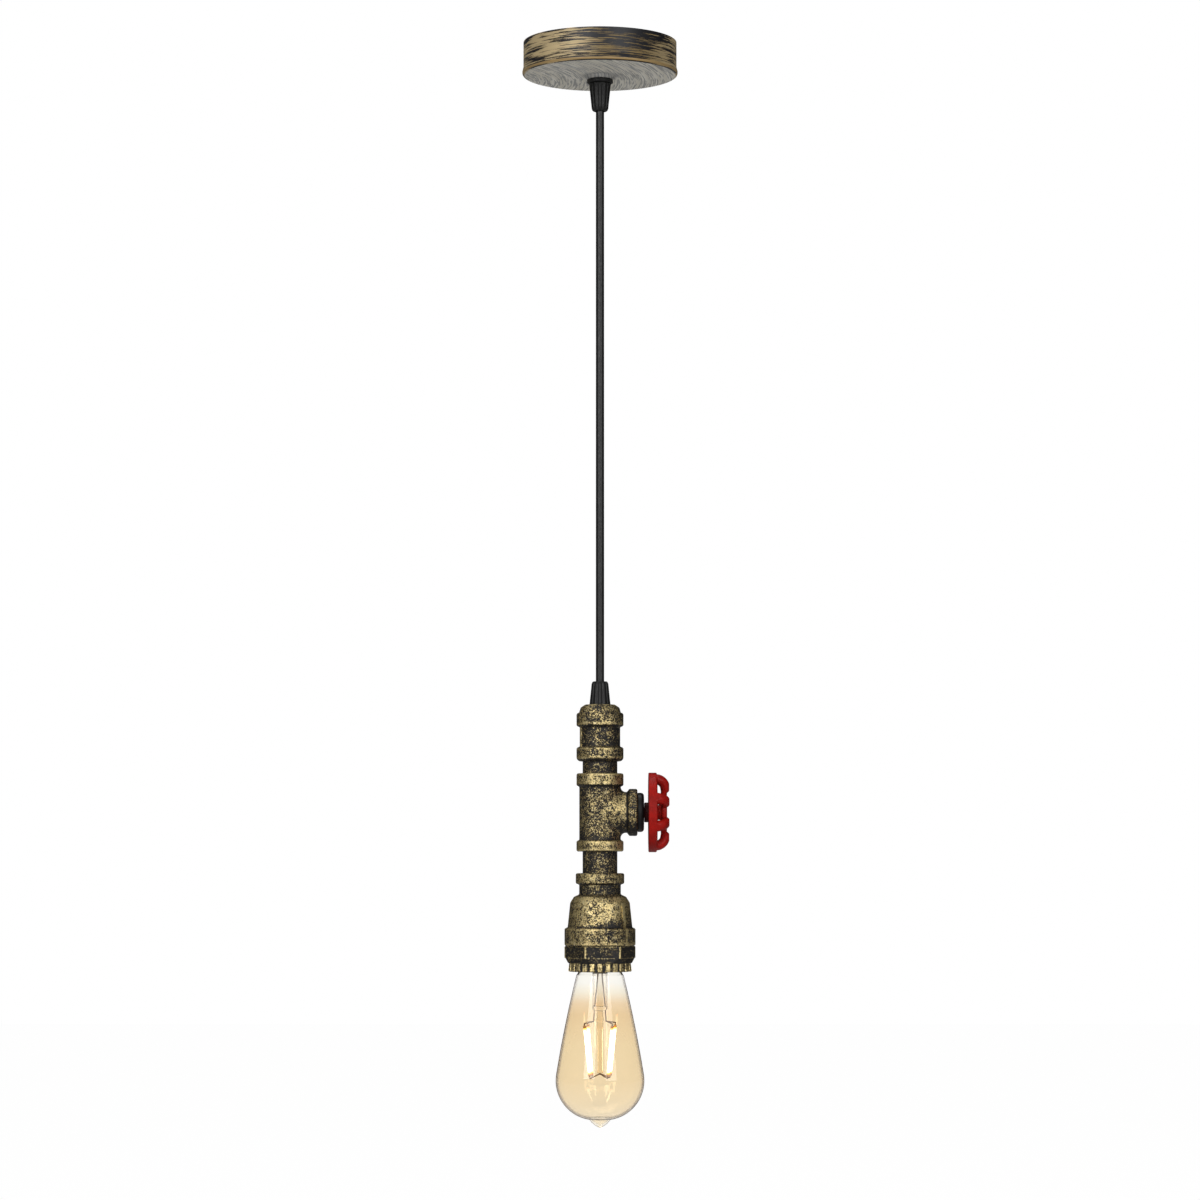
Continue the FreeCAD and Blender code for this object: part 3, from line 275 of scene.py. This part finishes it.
def aged_iron(name, stops, gilt=None, seed=0.0, patchy=0.6):
    """Black cast iron dry-brushed with gold. stops give gold's share by height, gilt adds to it by place."""
    bare_level = 0.618
    share_weight = 0.235
    f = Finish(name)
    grit = f.noise(0.8, detail=3.0, rough=0.56, seed=seed, warp=0.8)
    clouds = f.noise(3.4, detail=2.0, seed=seed + 1)
    wear = f.noise(13.0, detail=1.0, seed=seed + 2)
    tone = f.noise(2.4, detail=3.0, seed=seed + 3)
    share = f.profile(f.height(), stops)
    share = f.plus(share, f.minus(clouds, 0.5), 1.2)
    share = f.plus(share, f.minus(wear, 0.5), patchy)
    if gilt:
        share = f.plus(share, gilt(f))
    # Painted shade: faces that point down get less gold, so the lower roundings of the bands are painted dark
    # as if in shade.
    painted_shade_facing_down = f.between(f.axes(f.facing)[2], -0.35, -0.8)
    share = f.minus(share, f.times(painted_shade_facing_down, 0.45))
    over = f.minus(grit, f.minus(bare_level, f.times(share, share_weight)))
    gold = f.between(over, -0.007, 0.009)
    thick = f.between(over, 0.0, 0.11)
    gold_colour = f.mix(thick, linear("8A774B"), linear("DCC78F"))
    gold_colour = f.mix(f.times(f.between(tone, 0.52, 0.68), 0.4), gold_colour, linear("F0E2B4"))
    iron_colour = f.mix(f.between(tone, 0.3, 0.7), linear("0C0B0B"), linear("272420"))
    f.set(
        Base_Color=f.mix(gold, iron_colour, gold_colour),
        Metallic=f.times(gold, 0.85),
        Roughness=f.blend(gold, f.blend(tone, 0.4, 0.56), 0.38),
        Specular_IOR_Level=0.3,
    )
    relief = f.plus(f.times(grit, 0.8), gold, 0.15)
    f.bump(f.plus(relief, tone, 1.3), 0.2)
    return f.material


def rose_paint():
    """Bronze brushed over black: level strokes round the side, sweeping arcs on the underside."""
    f = Finish("rose_paint")
    x, y, z = f.axes(f.place)
    out = f.radius()
    strokes = f.noise(34.0, detail=5.0, rough=0.66, stretch=(1.0, 1.0, 30.0), seed=1)
    hair = f.noise(13.0, detail=4.0, rough=0.65, stretch=(1.0, 1.0, 26.0), seed=2)
    cover = f.noise(30.0, detail=2.0, stretch=(1.0, 1.0, 3.0), seed=3)
    # Painted light: the middle of the side gets more dark strokes as painted shade, and the bronze pales
    # toward the left and right.
    painted_shade_middle = f.between(f.off(x, 14.0), 36.0, 8.0)
    side = f.plus(f.times(strokes, 0.62), hair, 0.38)
    side = f.plus(side, f.minus(cover, 0.5), 0.25)
    side = f.plus(side, f.between(z, -9.0, -1.0), 0.03)
    side = f.plus(side, f.minus(painted_shade_middle, 0.35), 0.055)
    side_dark = f.between(side, 0.49, 0.512)
    bronze = f.mix(f.between(hair, 0.56, 0.44), linear("54462C"), linear("7F6A41"))
    # Painted sheen: the bronze turns pale toward the left and right of the side, a painted reflection at
    # grazing angles.
    bronze = f.mix(f.times(f.minus(1.0, painted_shade_middle), 0.75), bronze, linear("CDB88E"))
    # Painted highlight: the rolled rim is painted as a pale gold band, and keeps no dark strokes.
    rim_height = rose_bottom + 1.7
    rim = f.between(out, rose_rim_radius - 0.45, rose_rim_radius)
    rim = f.times(rim, f.between(z, rim_height + 0.5, rim_height))
    bronze = f.mix(rim, bronze, linear("A2875A"))
    side_dark = f.times(side_dark, f.minus(1.0, f.times(rim, 0.9)))
    side_colour = f.mix(side_dark, bronze, linear("141418"))

    sweep_x, sweep_y = -100.0, 20.0
    sweep = f.vector("DISTANCE", f.place, (sweep_x, sweep_y, rose_bottom))
    turn = f.math("ARCTAN2", f.minus(y, sweep_y), f.minus(x, sweep_x))
    arcs = f.combine(sweep, f.times(turn, 4.5), 0.0)
    scratch = f.noise(0.95, detail=3.0, rough=0.6, seed=4, place=arcs, warp=0.3)
    wide = f.noise(3.4, detail=3.0, seed=5, place=arcs)
    under = f.plus(f.times(scratch, 0.84), wide, 0.16)
    under_dark = f.times(f.between(under, 0.485, 0.55), 0.7)
    # Painted shadow: the underside darkens toward the grip, around its seat.
    painted_grip_shadow = f.times(f.between(out, 16.0, 8.0), 0.6)
    under_dark = f.math("MAXIMUM", under_dark, f.plus(painted_grip_shadow, under_dark, 0.5))
    # The underside's grey-beige paint with dark scratches is its own finish, made much paler than that paint
    # as painted light from below.
    under_colour = f.mix(f.between(wide, 0.35, 0.65), linear("ECE7D8"), linear("FAF6EA"))
    under_colour = f.mix(under_dark, under_colour, linear("85878A"))

    below = f.math("LESS_THAN", z, rose_bottom + 0.25)
    underside = f.times(below, f.math("LESS_THAN", out, rose_floor_radius))
    f.set(
        Base_Color=f.mix(underside, side_colour, under_colour),
        Metallic=f.blend(underside, f.times(f.minus(1.0, side_dark), 0.2), 0.0),
        Roughness=f.blend(underside, f.blend(side_dark, 0.5, 0.4), 0.56),
        Specular_IOR_Level=0.35,
        Sheen_Weight=0.06,
        Sheen_Roughness=0.4,
    )
    f.bump(f.blend(underside, side, under), 0.12, 0.6)
    return f.material


def plastic(name, colour, roughness=0.42, grain=0.5, depth=0.02, shift=0.35, shine=0.5, stripe=None):
    """Moulded plastic, rubber or glaze: fine grain, a little variation of tone and gloss.

    A stripe is a colour and the angle of the upright plane that it lies on one side of.
    """
    f = Finish(name)
    cloud = f.noise(7.0, detail=3.0, seed=1)
    fine = f.noise(grain, detail=3.0, rough=0.6, seed=2)
    gloss = f.between(f.noise(2.2, detail=3.0, seed=3), 0.3, 0.7)
    base = linear(colour)
    if stripe:
        tone = f.mix(f.between(f.across(stripe[1]), -0.05, 0.05), base, linear(stripe[0]))
    else:
        dark = tuple(c * (1.0 - shift) for c in base[:3]) + (1.0,)
        tone = f.mix(f.between(cloud, 0.3, 0.7), dark, base)
    f.set(
        Base_Color=tone,
        Roughness=f.blend(gloss, roughness - 0.06, roughness + 0.08),
        Specular_IOR_Level=shine,
    )
    f.bump(fine, depth)
    return f.material


def metal(name, colour, roughness=0.3, dull="5A5348", tarnish=0.25, grain=0.4, depth=0.01):
    """Plated or bare metal with cloudy tarnish and a fine grain."""
    f = Finish(name)
    cloud = f.between(f.noise(4.0, detail=4.0, seed=1), 0.45, 0.7)
    fine = f.noise(grain, detail=3.0, seed=2)
    f.set(
        Base_Color=f.mix(f.times(cloud, tarnish), linear(colour), linear(dull)),
        Metallic=1.0,
        Roughness=f.blend(cloud, roughness, roughness + 0.18),
    )
    f.bump(fine, depth)
    return f.material


def red_enamel(name, colour, deep):
    """Enamel over cast iron, with its orange peel and clouds of a deeper tone."""
    f = Finish(name)
    cloud = f.noise(9.0, detail=3.0, seed=1)
    f.set(
        Base_Color=f.mix(f.between(cloud, 0.3, 0.72), linear(deep), linear(colour)),
        Roughness=f.blend(f.noise(3.0, detail=3.0, seed=2), 0.32, 0.48),
        Specular_IOR_Level=0.12,
        Coat_Weight=0.03,
        Coat_Roughness=0.2,
    )
    peel = f.plus(f.noise(1.6, detail=2.0, seed=3), f.noise(5.0, seed=4), 1.5)
    f.bump(peel, 0.09, 0.8)
    return f.material


def glass(name, stops, rim_colour, rim):
    """Blown glass, tinted by (height, colour) stops and darker where it is seen on edge."""
    f = Finish(name)
    tint = f.ramp(f.height(), [(height, linear(colour)) for height, colour in stops])
    edge = f.node("ShaderNodeLayerWeight").outputs["Facing"]
    tint = f.mix(f.between(edge, *rim), tint, linear(rim_colour))
    f.set(Base_Color=tint, Transmission_Weight=1.0, IOR=glass_bend, Roughness=0.0)
    f.bump(f.noise(14.0, detail=1.0, seed=1), 0.05, 0.5)
    return f.material


def filament_coat():
    """Phosphor stick, softly lit, warmer at its ends."""
    f = Finish("filament_coat")
    half = (filament_top - filament_bottom) / 2
    away = f.off(f.height(), filament_bottom + half)
    end = f.between(away, half - 2.5, half - 0.4)
    grains = f.between(f.noise(0.8, detail=2.0, seed=1), 0.35, 0.65)
    body = f.mix(grains, linear("FBEFCF"), linear("FFFBEF"))
    colour = f.mix(end, body, linear("E8963A"))
    f.set(Base_Color=colour, Roughness=0.6, Emission_Color=colour, Emission_Strength=6.0)
    f.bump(grains, 0.05)
    return f.material


def above(base, *stops):
    """Stops with their heights over the base turned into heights of the model."""
    return [(base + rise, value) for rise, value in stops]


def socket_gilt(f):
    """Gold on the two seam ribs of the socket, which stand out from its body and less far than its bands."""
    out = f.radius()
    rib = f.times(
        f.between(out, socket_body_radius, socket_body_radius + 0.15),
        f.between(out, socket_rib_radius + 0.2, socket_rib_radius),
    )
    return f.times(rib, 0.7)


def tee_gilt(f):
    """A little more gold where the branch grows out of the barrel, less on its collar, none in its groove."""
    x = f.axes(f.place)[0]
    root = f.times(f.between(x, branch_root, branch_root + 10.0), 0.12)
    collar = f.times(f.between(x, branch_groove, branch_groove + 1.0), 0.16)
    groove = f.between(f.off(x, branch_groove), 0.9, 0.4)
    return f.minus(root, f.plus(collar, groove))


def reducer_gilt(f):
    """Gold on the two seam ribs of the reducer, below its shoulder."""
    away = f.math("ABSOLUTE", f.across(reducer_rib_angle))
    rib = f.between(away, reducer_rib_half + 0.25, reducer_rib_half)
    return f.times(f.times(rib, f.between(f.height(), reducer_top - 18.0, reducer_top - 21.0)), 0.6)


def hex_gilt(f):
    """Gold rubbed along the hexagon's upright corners."""
    return f.times(f.between(f.radius(), hex_corner_radius - 0.25, hex_corner_radius), 1.1)


def ring_gilt(f):
    """Gold on the crests between the flutes of the ring."""
    return f.times(f.between(f.radius(), ring_crest_radius - 0.4, ring_crest_radius), 0.8)


bush_stops = above(socket_top, (-15.3, 0.4), (-0.8, 0.35), (0.1, 0.45), (5.7, 0.6))
socket_stops = [
    *above(socket_bottom, (0.0, 0.2), (1.4, 0.35), (2.3, 0.85), (3.5, 0.42)),
    *above(socket_bottom, (6.6, 0.38), (7.8, 0.8), (8.9, -0.15), (12.5, 0.16)),
    *above(socket_top, (-14.5, 0.28), (-9.6, -0.1), (-8.0, 0.2), (-7.0, 0.85), (-5.4, 0.4), (0.0, 0.36)),
]
pipe_stops = [
    *above(tee_bottom, (-28.6, 0.12), (-6.6, 0.24)),
    *above(socket_bottom, (-3.9, 0.12), (15.1, 0.08)),
]
tee_stops = [
    *above(tee_bottom, (0.0, 0.5), (0.9, 0.92), (2.0, 0.56), (4.8, 0.6), (5.8, 0.92), (6.6, 0.6)),
    *above(tee_bottom, (7.4, -0.1), (12.0, 0.36)),
    *above(tee_top, (-22.0, 0.42), (-12.0, 0.34), (-8.8, -0.1), (-7.4, 0.2), (-6.4, 0.88)),
    *above(tee_top, (-5.2, 0.55), (-1.8, 0.5), (-0.9, 0.88), (0.0, 0.8)),
]
reducer_stops = [
    *above(reducer_bottom, (0.0, 0.5), (1.2, 0.9), (3.0, 0.42), (9.2, 0.42), (10.3, 0.8), (11.6, 0.0)),
    *above(reducer_bottom, (14.0, 0.5)),
    *above(reducer_top, (-21.0, 0.72), (-16.0, 0.85), (-13.6, 0.5), (-12.2, 0.05), (-7.4, 0.2)),
    *above(reducer_top, (-6.2, 0.5), (0.0, 0.6)),
]
hex_stops = [
    *above(hex_bottom, (0.0, -0.3), (2.7, -0.3), (3.2, 0.6), (3.7, -0.38)),
    *above(reducer_bottom, (-1.0, -0.38), (-0.4, 0.6), (0.0, 0.6)),
]
ring_stops = [(ring_bottom, -0.25), (ring_top, -0.25)]
amber_stops = [
    *above(glass_bottom, (-0.6, "FAF2E2"), (14.4, "F8EDD8"), (30.4, "F8EBD2"), (50.8, "F8EBD1")),
    *above(glass_bottom, (69.8, "F5E5CA"), (76.8, "F8EAD4"), (83.8, "FCF8EE"), (89.8, "FEFDF9")),
    (glass_top, "FEFDF9"),
]
clear_stops = above(glass_bottom, (42.8, "F2E6D0"), (102.8, "FDFCFA"))

aged_bush = aged_iron("aged_bush", bush_stops, seed=3.0)
aged_socket = aged_iron("aged_socket", socket_stops, gilt=socket_gilt, seed=0.0)
aged_tee = aged_iron("aged_tee", tee_stops, gilt=tee_gilt, seed=7.0)
aged_pipe = aged_iron("aged_pipe", pipe_stops, seed=11.0)
aged_reducer = aged_iron("aged_reducer", reducer_stops, gilt=reducer_gilt, seed=15.0, patchy=1.0)
aged_hex = aged_iron("aged_hex", hex_stops, gilt=hex_gilt, seed=19.0)
aged_ring = aged_iron("aged_ring", ring_stops, gilt=ring_gilt, seed=23.0)

grip_black = plastic("grip_plastic", "191919", roughness=0.4, depth=0.03, shine=0.3)
block_white = plastic("block_plastic", "D9D6CC", roughness=0.4, shift=0.08)
switch_black = plastic("switch_plastic", "161616", roughness=0.36, shine=0.3)
rubber = plastic("collet_rubber", "161616", roughness=0.75)
sheath = plastic("flex_sheath", "161617", roughness=0.36, grain=0.8, shine=0.4)
brown = plastic("core_brown", "5A3318", roughness=0.4, shift=0.15)
blue = plastic("core_blue", "1E4E9C", roughness=0.4, shift=0.15)
earth = {
    name: plastic(name, "2C7A34", roughness=0.45, shift=0.2, stripe=("D8B72A", degrees))
    for name, degrees in (("core_earth", 0.0), ("pipe_core_earth", 240.0))
}
porcelain = plastic("porcelain", "E9E6DC", roughness=0.16, grain=2.0, depth=0.01, shift=0.05)
insulator = plastic("insulator_glass", "15151A", roughness=0.12, grain=2.0, shift=0.2)
zinc = metal("zinc_steel", "B9BBB6", roughness=0.34, dull="7F817C", tarnish=0.5)
screw_brass = metal("screw_brass", "C9A75A", roughness=0.3, dull="7A6030", tarnish=0.4)
shell_brass = metal("shell_brass", "CDAE68", roughness=0.26, dull="8B6E38", tarnish=0.35)
spindle_steel = metal("spindle_steel", "55524D", roughness=0.42, dull="24221F", tarnish=0.7)
solder = metal("solder", "A7A7A4", roughness=0.36, dull="6D6D6A", tarnish=0.4, grain=1.2, depth=0.08)
wire_steel = metal("wire_steel", "70543C", roughness=0.34, dull="35281D", tarnish=0.5)
red = red_enamel("wheel_red", "A61710", "86110C")
# Painted shade: the spindle collar wears the wheel's red enamel, darkened as if in shade behind the wheel.
collar_red = red_enamel("collar_red", "430F0D", "2A0A09")
amber = glass("amber_glass", amber_stops, rim_colour="4E2C0E", rim=(0.64, 0.9))
clear = glass("clear_glass", clear_stops, rim_colour="3E2C1C", rim=(0.35, 0.85))

finish_of = {
    "ceiling_bracket": zinc,
    "rose_cover": rose_paint(),
    "terminal_block": block_white,
    "terminal_tubes": shell_brass,
    "terminal_screws": screw_brass,
    "block_screws": zinc,
    "earth_screw": screw_brass,
    "upper_grip_base": grip_black,
    "upper_grip_nut": grip_black,
    "upper_grip_collet": rubber,
    "upper_lock_nut": grip_black,
    "flex_in_rose": sheath,
    "rose_live_core": brown,
    "rose_neutral_core": blue,
    "rose_earth_core": earth["core_earth"],
    "suspension_flex": sheath,
    "lower_grip_nut": grip_black,
    "lower_grip_collet": rubber,
    "lower_grip_base": grip_black,
    "lower_lock_nut": grip_black,
    "top_bush": aged_bush,
    "pipe_socket": aged_socket,
    "upper_nipple": aged_pipe,
    "pipe_tee": aged_tee,
    "lower_nipple": aged_pipe,
    "bell_reducer": aged_reducer,
    "hex_bush": aged_hex,
    "fluted_ring": aged_ring,
    "flex_in_pipe": sheath,
    "pipe_live_core": brown,
    "switch_return_core": brown,
    "pipe_neutral_core": blue,
    "pipe_earth_core": earth["pipe_core_earth"],
    "lampholder_body": porcelain,
    "screw_shell": shell_brass,
    "contact_spring": shell_brass,
    "holder_terminals": shell_brass,
    "holder_terminal_screws": screw_brass,
    "tee_plug": switch_black,
    "rotary_switch": switch_black,
    "switch_tabs": shell_brass,
    "spindle": spindle_steel,
    "spindle_collar": collar_red,
    "handwheel": red,
    "wheel_screw": zinc,
    "bulb_glass": amber,
    "bulb_cap": shell_brass,
    "cap_insulator": insulator,
    "cap_contact": solder,
    "glass_stem": clear,
    "lead_wires": wire_steel,
    "bottom_star": wire_steel,
    "led_filaments": filament_coat(),
    "filament_caps": metal("filament_cap", "C08A4A", roughness=0.34),
}
for name, node in frame["nodes"].items():
    for slot in node.material_slots:
        slot.material = finish_of[name]


def add_object(name, data):
    made = bpy.data.objects.new(name, data)
    scene.collection.objects.link(made)
    return made


def cord():
    """The hanging flex between the two grip mouths, a smooth spline on the route's points."""
    top, bottom = flex_ends
    heights = (top, top - flex_straight, bottom + flex_straight, bottom)
    curve = bpy.data.curves.new("suspension_cord", "CURVE")
    curve.dimensions = "3D"
    curve.bevel_depth = flex_diameter / 2
    curve.bevel_resolution = 8
    curve.use_fill_caps = True
    spline = curve.splines.new("NURBS")
    spline.points.add(len(heights) - 1)
    for point, z in zip(spline.points, heights):
        point.co = (0.0, 0.0, z, 1.0)
    spline.order_u = 3
    spline.use_endpoint_u = True
    spline.resolution_u = 12
    made = add_object("suspension_cord", curve)
    curve.materials.append(sheath)
    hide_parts("suspension_flex")
    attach(made, "flex")


cord()


def cast_copy(node, body):
    """The handwheel as cast: the node's shape with its joints melted together and its arms a little fuller.

    The hub keeps its size, and nothing leaves the node's own box or its circle about the wheel's axis, X.
    """
    low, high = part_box(node)
    middle = Vector([(a + b) / 2 for a, b in zip(low, high)])
    widest = (high.z - low.z) / 2

    raw = add_object(node + "_raw", frame["nodes"][node].data.copy())
    remesh = raw.modifiers.new("melt", "REMESH")
    remesh.mode = "VOXEL"
    remesh.voxel_size = cast_voxel
    mesh = bpy.data.meshes.new_from_object(raw.evaluated_get(bpy.context.evaluated_depsgraph_get()))
    bpy.data.objects.remove(raw)
    normals = [vertex.normal.copy() for vertex in mesh.vertices]
    for vertex, normal in zip(mesh.vertices, normals):
        out = math.hypot(vertex.co.y - middle.y, vertex.co.z - middle.z)
        vertex.co += normal * cast_swell * min(max((out - cast_hub) / cast_hub_fade, 0.0), 1.0)

    made = add_object(node + "_cast", mesh)
    smooth = made.modifiers.new("soften", "SMOOTH")
    smooth.factor = 0.5
    smooth.iterations = cast_rounds
    mesh = bpy.data.meshes.new_from_object(made.evaluated_get(bpy.context.evaluated_depsgraph_get()))
    made.modifiers.clear()
    made.data = mesh
    for vertex in mesh.vertices:
        vertex.co.x = min(max(vertex.co.x, low.x), high.x)
        out = math.hypot(vertex.co.y - middle.y, vertex.co.z - middle.z)
        if out > widest:
            vertex.co.y = middle.y + (vertex.co.y - middle.y) * widest / out
            vertex.co.z = middle.z + (vertex.co.z - middle.z) * widest / out
    mesh.polygons.foreach_set("use_smooth", [True] * len(mesh.polygons))
    mesh.materials.clear()
    mesh.materials.append(finish_of[node])
    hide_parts(node)
    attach(made, body)


cast_copy("handwheel", "handwheel")


def grip_nut(node, body, mouth_down):
    """The grip's cap nut with shallow upright flutes cut into its plain cone, in millimetres."""
    low, high = ends(node)
    wide, mouth = (high, low) if mouth_down else (low, high)
    grooves = 12
    around = 240
    steps = 12
    depth = 0.5
    cone_wide, cone_narrow = 6.93, 5.08
    inward = 1.0 if mouth < wide else -1.0
    # Each row of the outline: its radius, its height and the share of the flutes' depth there
    outline = [(4.75, wide, 0.0), (6.6, wide, 0.0), (cone_wide, wide - inward * 0.35, 0.4)]
    for i in range(1, steps):
        t = i / steps
        outline.append((cone_wide + (cone_narrow - cone_wide) * t, wide + (mouth - wide) * t, 1.0))
    outline += [
        (5.0, mouth + inward * 1.1, 1.0),
        (4.8, mouth + inward * 0.45, 0.6),
        (4.2, mouth + inward * 0.05, 0.0),
        (3.35, mouth, 0.0),
        (2.85, mouth + inward * 0.6, 0.0),
        (2.85, mouth + inward * 5.0, 0.0),
    ]
    vertices, faces = [], []
    for radius, z, share in outline:
        for k in range(around):
            angle = 2 * math.pi * k / around
            groove = depth * share * (0.5 - 0.5 * math.cos(grooves * angle)) ** 1.6
            r = (radius - groove) / 1000
            vertices.append((r * math.cos(angle), r * math.sin(angle), z / 1000))
    for row in range(len(outline) - 1):
        for k in range(around):
            a, b = row * around + k, row * around + (k + 1) % around
            faces.append((a, b, b + around, a + around))
    mesh = bpy.data.meshes.new(node + "_fluted")
    mesh.from_pydata(vertices, [], faces)
    mesh.polygons.foreach_set("use_smooth", [True] * len(mesh.polygons))
    mesh.materials.append(grip_black)
    made = add_object(node + "_fluted", mesh)
    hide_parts(node)
    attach(made, body)


grip_nut("upper_grip_nut", "root", mouth_down=True)
grip_nut("lower_grip_nut", "pendant", mouth_down=False)


# Backdrop: white to the camera and through glass. Other rays meet a soft world and a grey, matte floor


def seen(tree):
    """1 for rays from the camera or through glass."""
    path = tree.nodes.new("ShaderNodeLightPath")
    either = tree.nodes.new("ShaderNodeMath")
    either.operation = "MAXIMUM"
    tree.links.new(path.outputs["Is Camera Ray"], either.inputs[0])
    tree.links.new(path.outputs["Is Transmission Ray"], either.inputs[1])
    return either.outputs[0]


def world():
    """White where it is seen. Its own light is soft, and strongest from the front and a little above."""
    made = bpy.data.worlds.new("studio")
    made.use_nodes = True
    scene.world = made
    tree = made.node_tree
    direction = tree.nodes.new("ShaderNodeTexCoord")
    along = tree.nodes.new("ShaderNodeVectorMath")
    along.operation = "DOT_PRODUCT"
    along.inputs[1].default_value = world_front
    tree.links.new(direction.outputs["Generated"], along.inputs[0])
    front = tree.nodes.new("ShaderNodeMapRange")
    front.interpolation_type = "SMOOTHSTEP"
    front.inputs["From Min"].default_value = -0.2
    front.inputs["From Max"].default_value = 0.95
    front.inputs["To Min"].default_value = world_dimmest
    front.inputs["To Max"].default_value = world_brightest
    tree.links.new(along.outputs["Value"], front.inputs["Value"])
    strength = tree.nodes.new("ShaderNodeMix")
    strength.inputs[3].default_value = 1.0
    tree.links.new(seen(tree), strength.inputs[0])
    tree.links.new(front.outputs[0], strength.inputs[2])
    shade = tree.nodes["Background"]
    shade.inputs["Color"].default_value = (1.0, 1.0, 1.0, 1.0)
    tree.links.new(strength.outputs[0], shade.inputs["Strength"])


def floor():
    """Matte floor that glows where it is seen, so that it is white there and keeps a faint shadow."""
    mesh = bpy.data.meshes.new("floor")
    corners = [(floor_half * x, floor_half * y, 0.0) for x, y in ((-1, -1), (1, -1), (1, 1), (-1, 1))]
    mesh.from_pydata(corners, [], [(0, 1, 2, 3)])
    made = add_object("floor", mesh)
    made.location.z = floor_height
    material = bpy.data.materials.new("floor")
    material.use_nodes = True
    nodes = material.node_tree.nodes
    links = material.node_tree.links
    matte = nodes["Principled BSDF"]
    matte.inputs["Base Color"].default_value = (floor_grey, floor_grey, floor_grey, 1.0)
    matte.inputs["Roughness"].default_value = 0.9
    glow = nodes.new("ShaderNodeEmission")
    glow.inputs["Strength"].default_value = floor_glow
    share = nodes.new("ShaderNodeMath")
    share.operation = "MULTIPLY"
    share.inputs[1].default_value = floor_glow_share
    links.new(seen(material.node_tree), share.inputs[0])
    mixed = nodes.new("ShaderNodeMixShader")
    links.new(share.outputs[0], mixed.inputs[0])
    links.new(matte.outputs[0], mixed.inputs[1])
    links.new(glow.outputs[0], mixed.inputs[2])
    links.new(mixed.outputs[0], nodes["Material Output"].inputs["Surface"])
    mesh.materials.append(material)


def lamp(name, place, target, size, power):
    """Square light that faces the target."""
    light = bpy.data.lights.new(name, "AREA")
    light.shape = "SQUARE"
    light.size = size
    light.energy = power
    made = add_object(name, light)
    made.location = place
    made.rotation_euler = (Vector(target) - Vector(place)).to_track_quat("-Z", "Y").to_euler()


def camera():
    data = bpy.data.cameras.new("camera")
    data.sensor_width = sensor_width
    data.lens = sensor_width * focal_pixels / photo_pixels
    data.clip_end = camera_reach
    made = add_object("camera", data)
    made.location = (0.0, -camera_distance, camera_height)
    made.rotation_euler = (math.radians(90.0 + camera_pitch), 0.0, 0.0)
    scene.camera = made


world()
floor()
lamp("key", (-1.5, -2.7, 0.7), (0.0, 0.0, -0.4), 1.8, 46.0)
lamp("fill", (1.5, -2.7, 0.4), (0.0, 0.0, -0.4), 1.8, 30.0)
lamp("top", (-0.3, 0.4, 1.6), (0.0, 0.0, -0.3), 1.6, 12.0)
camera()
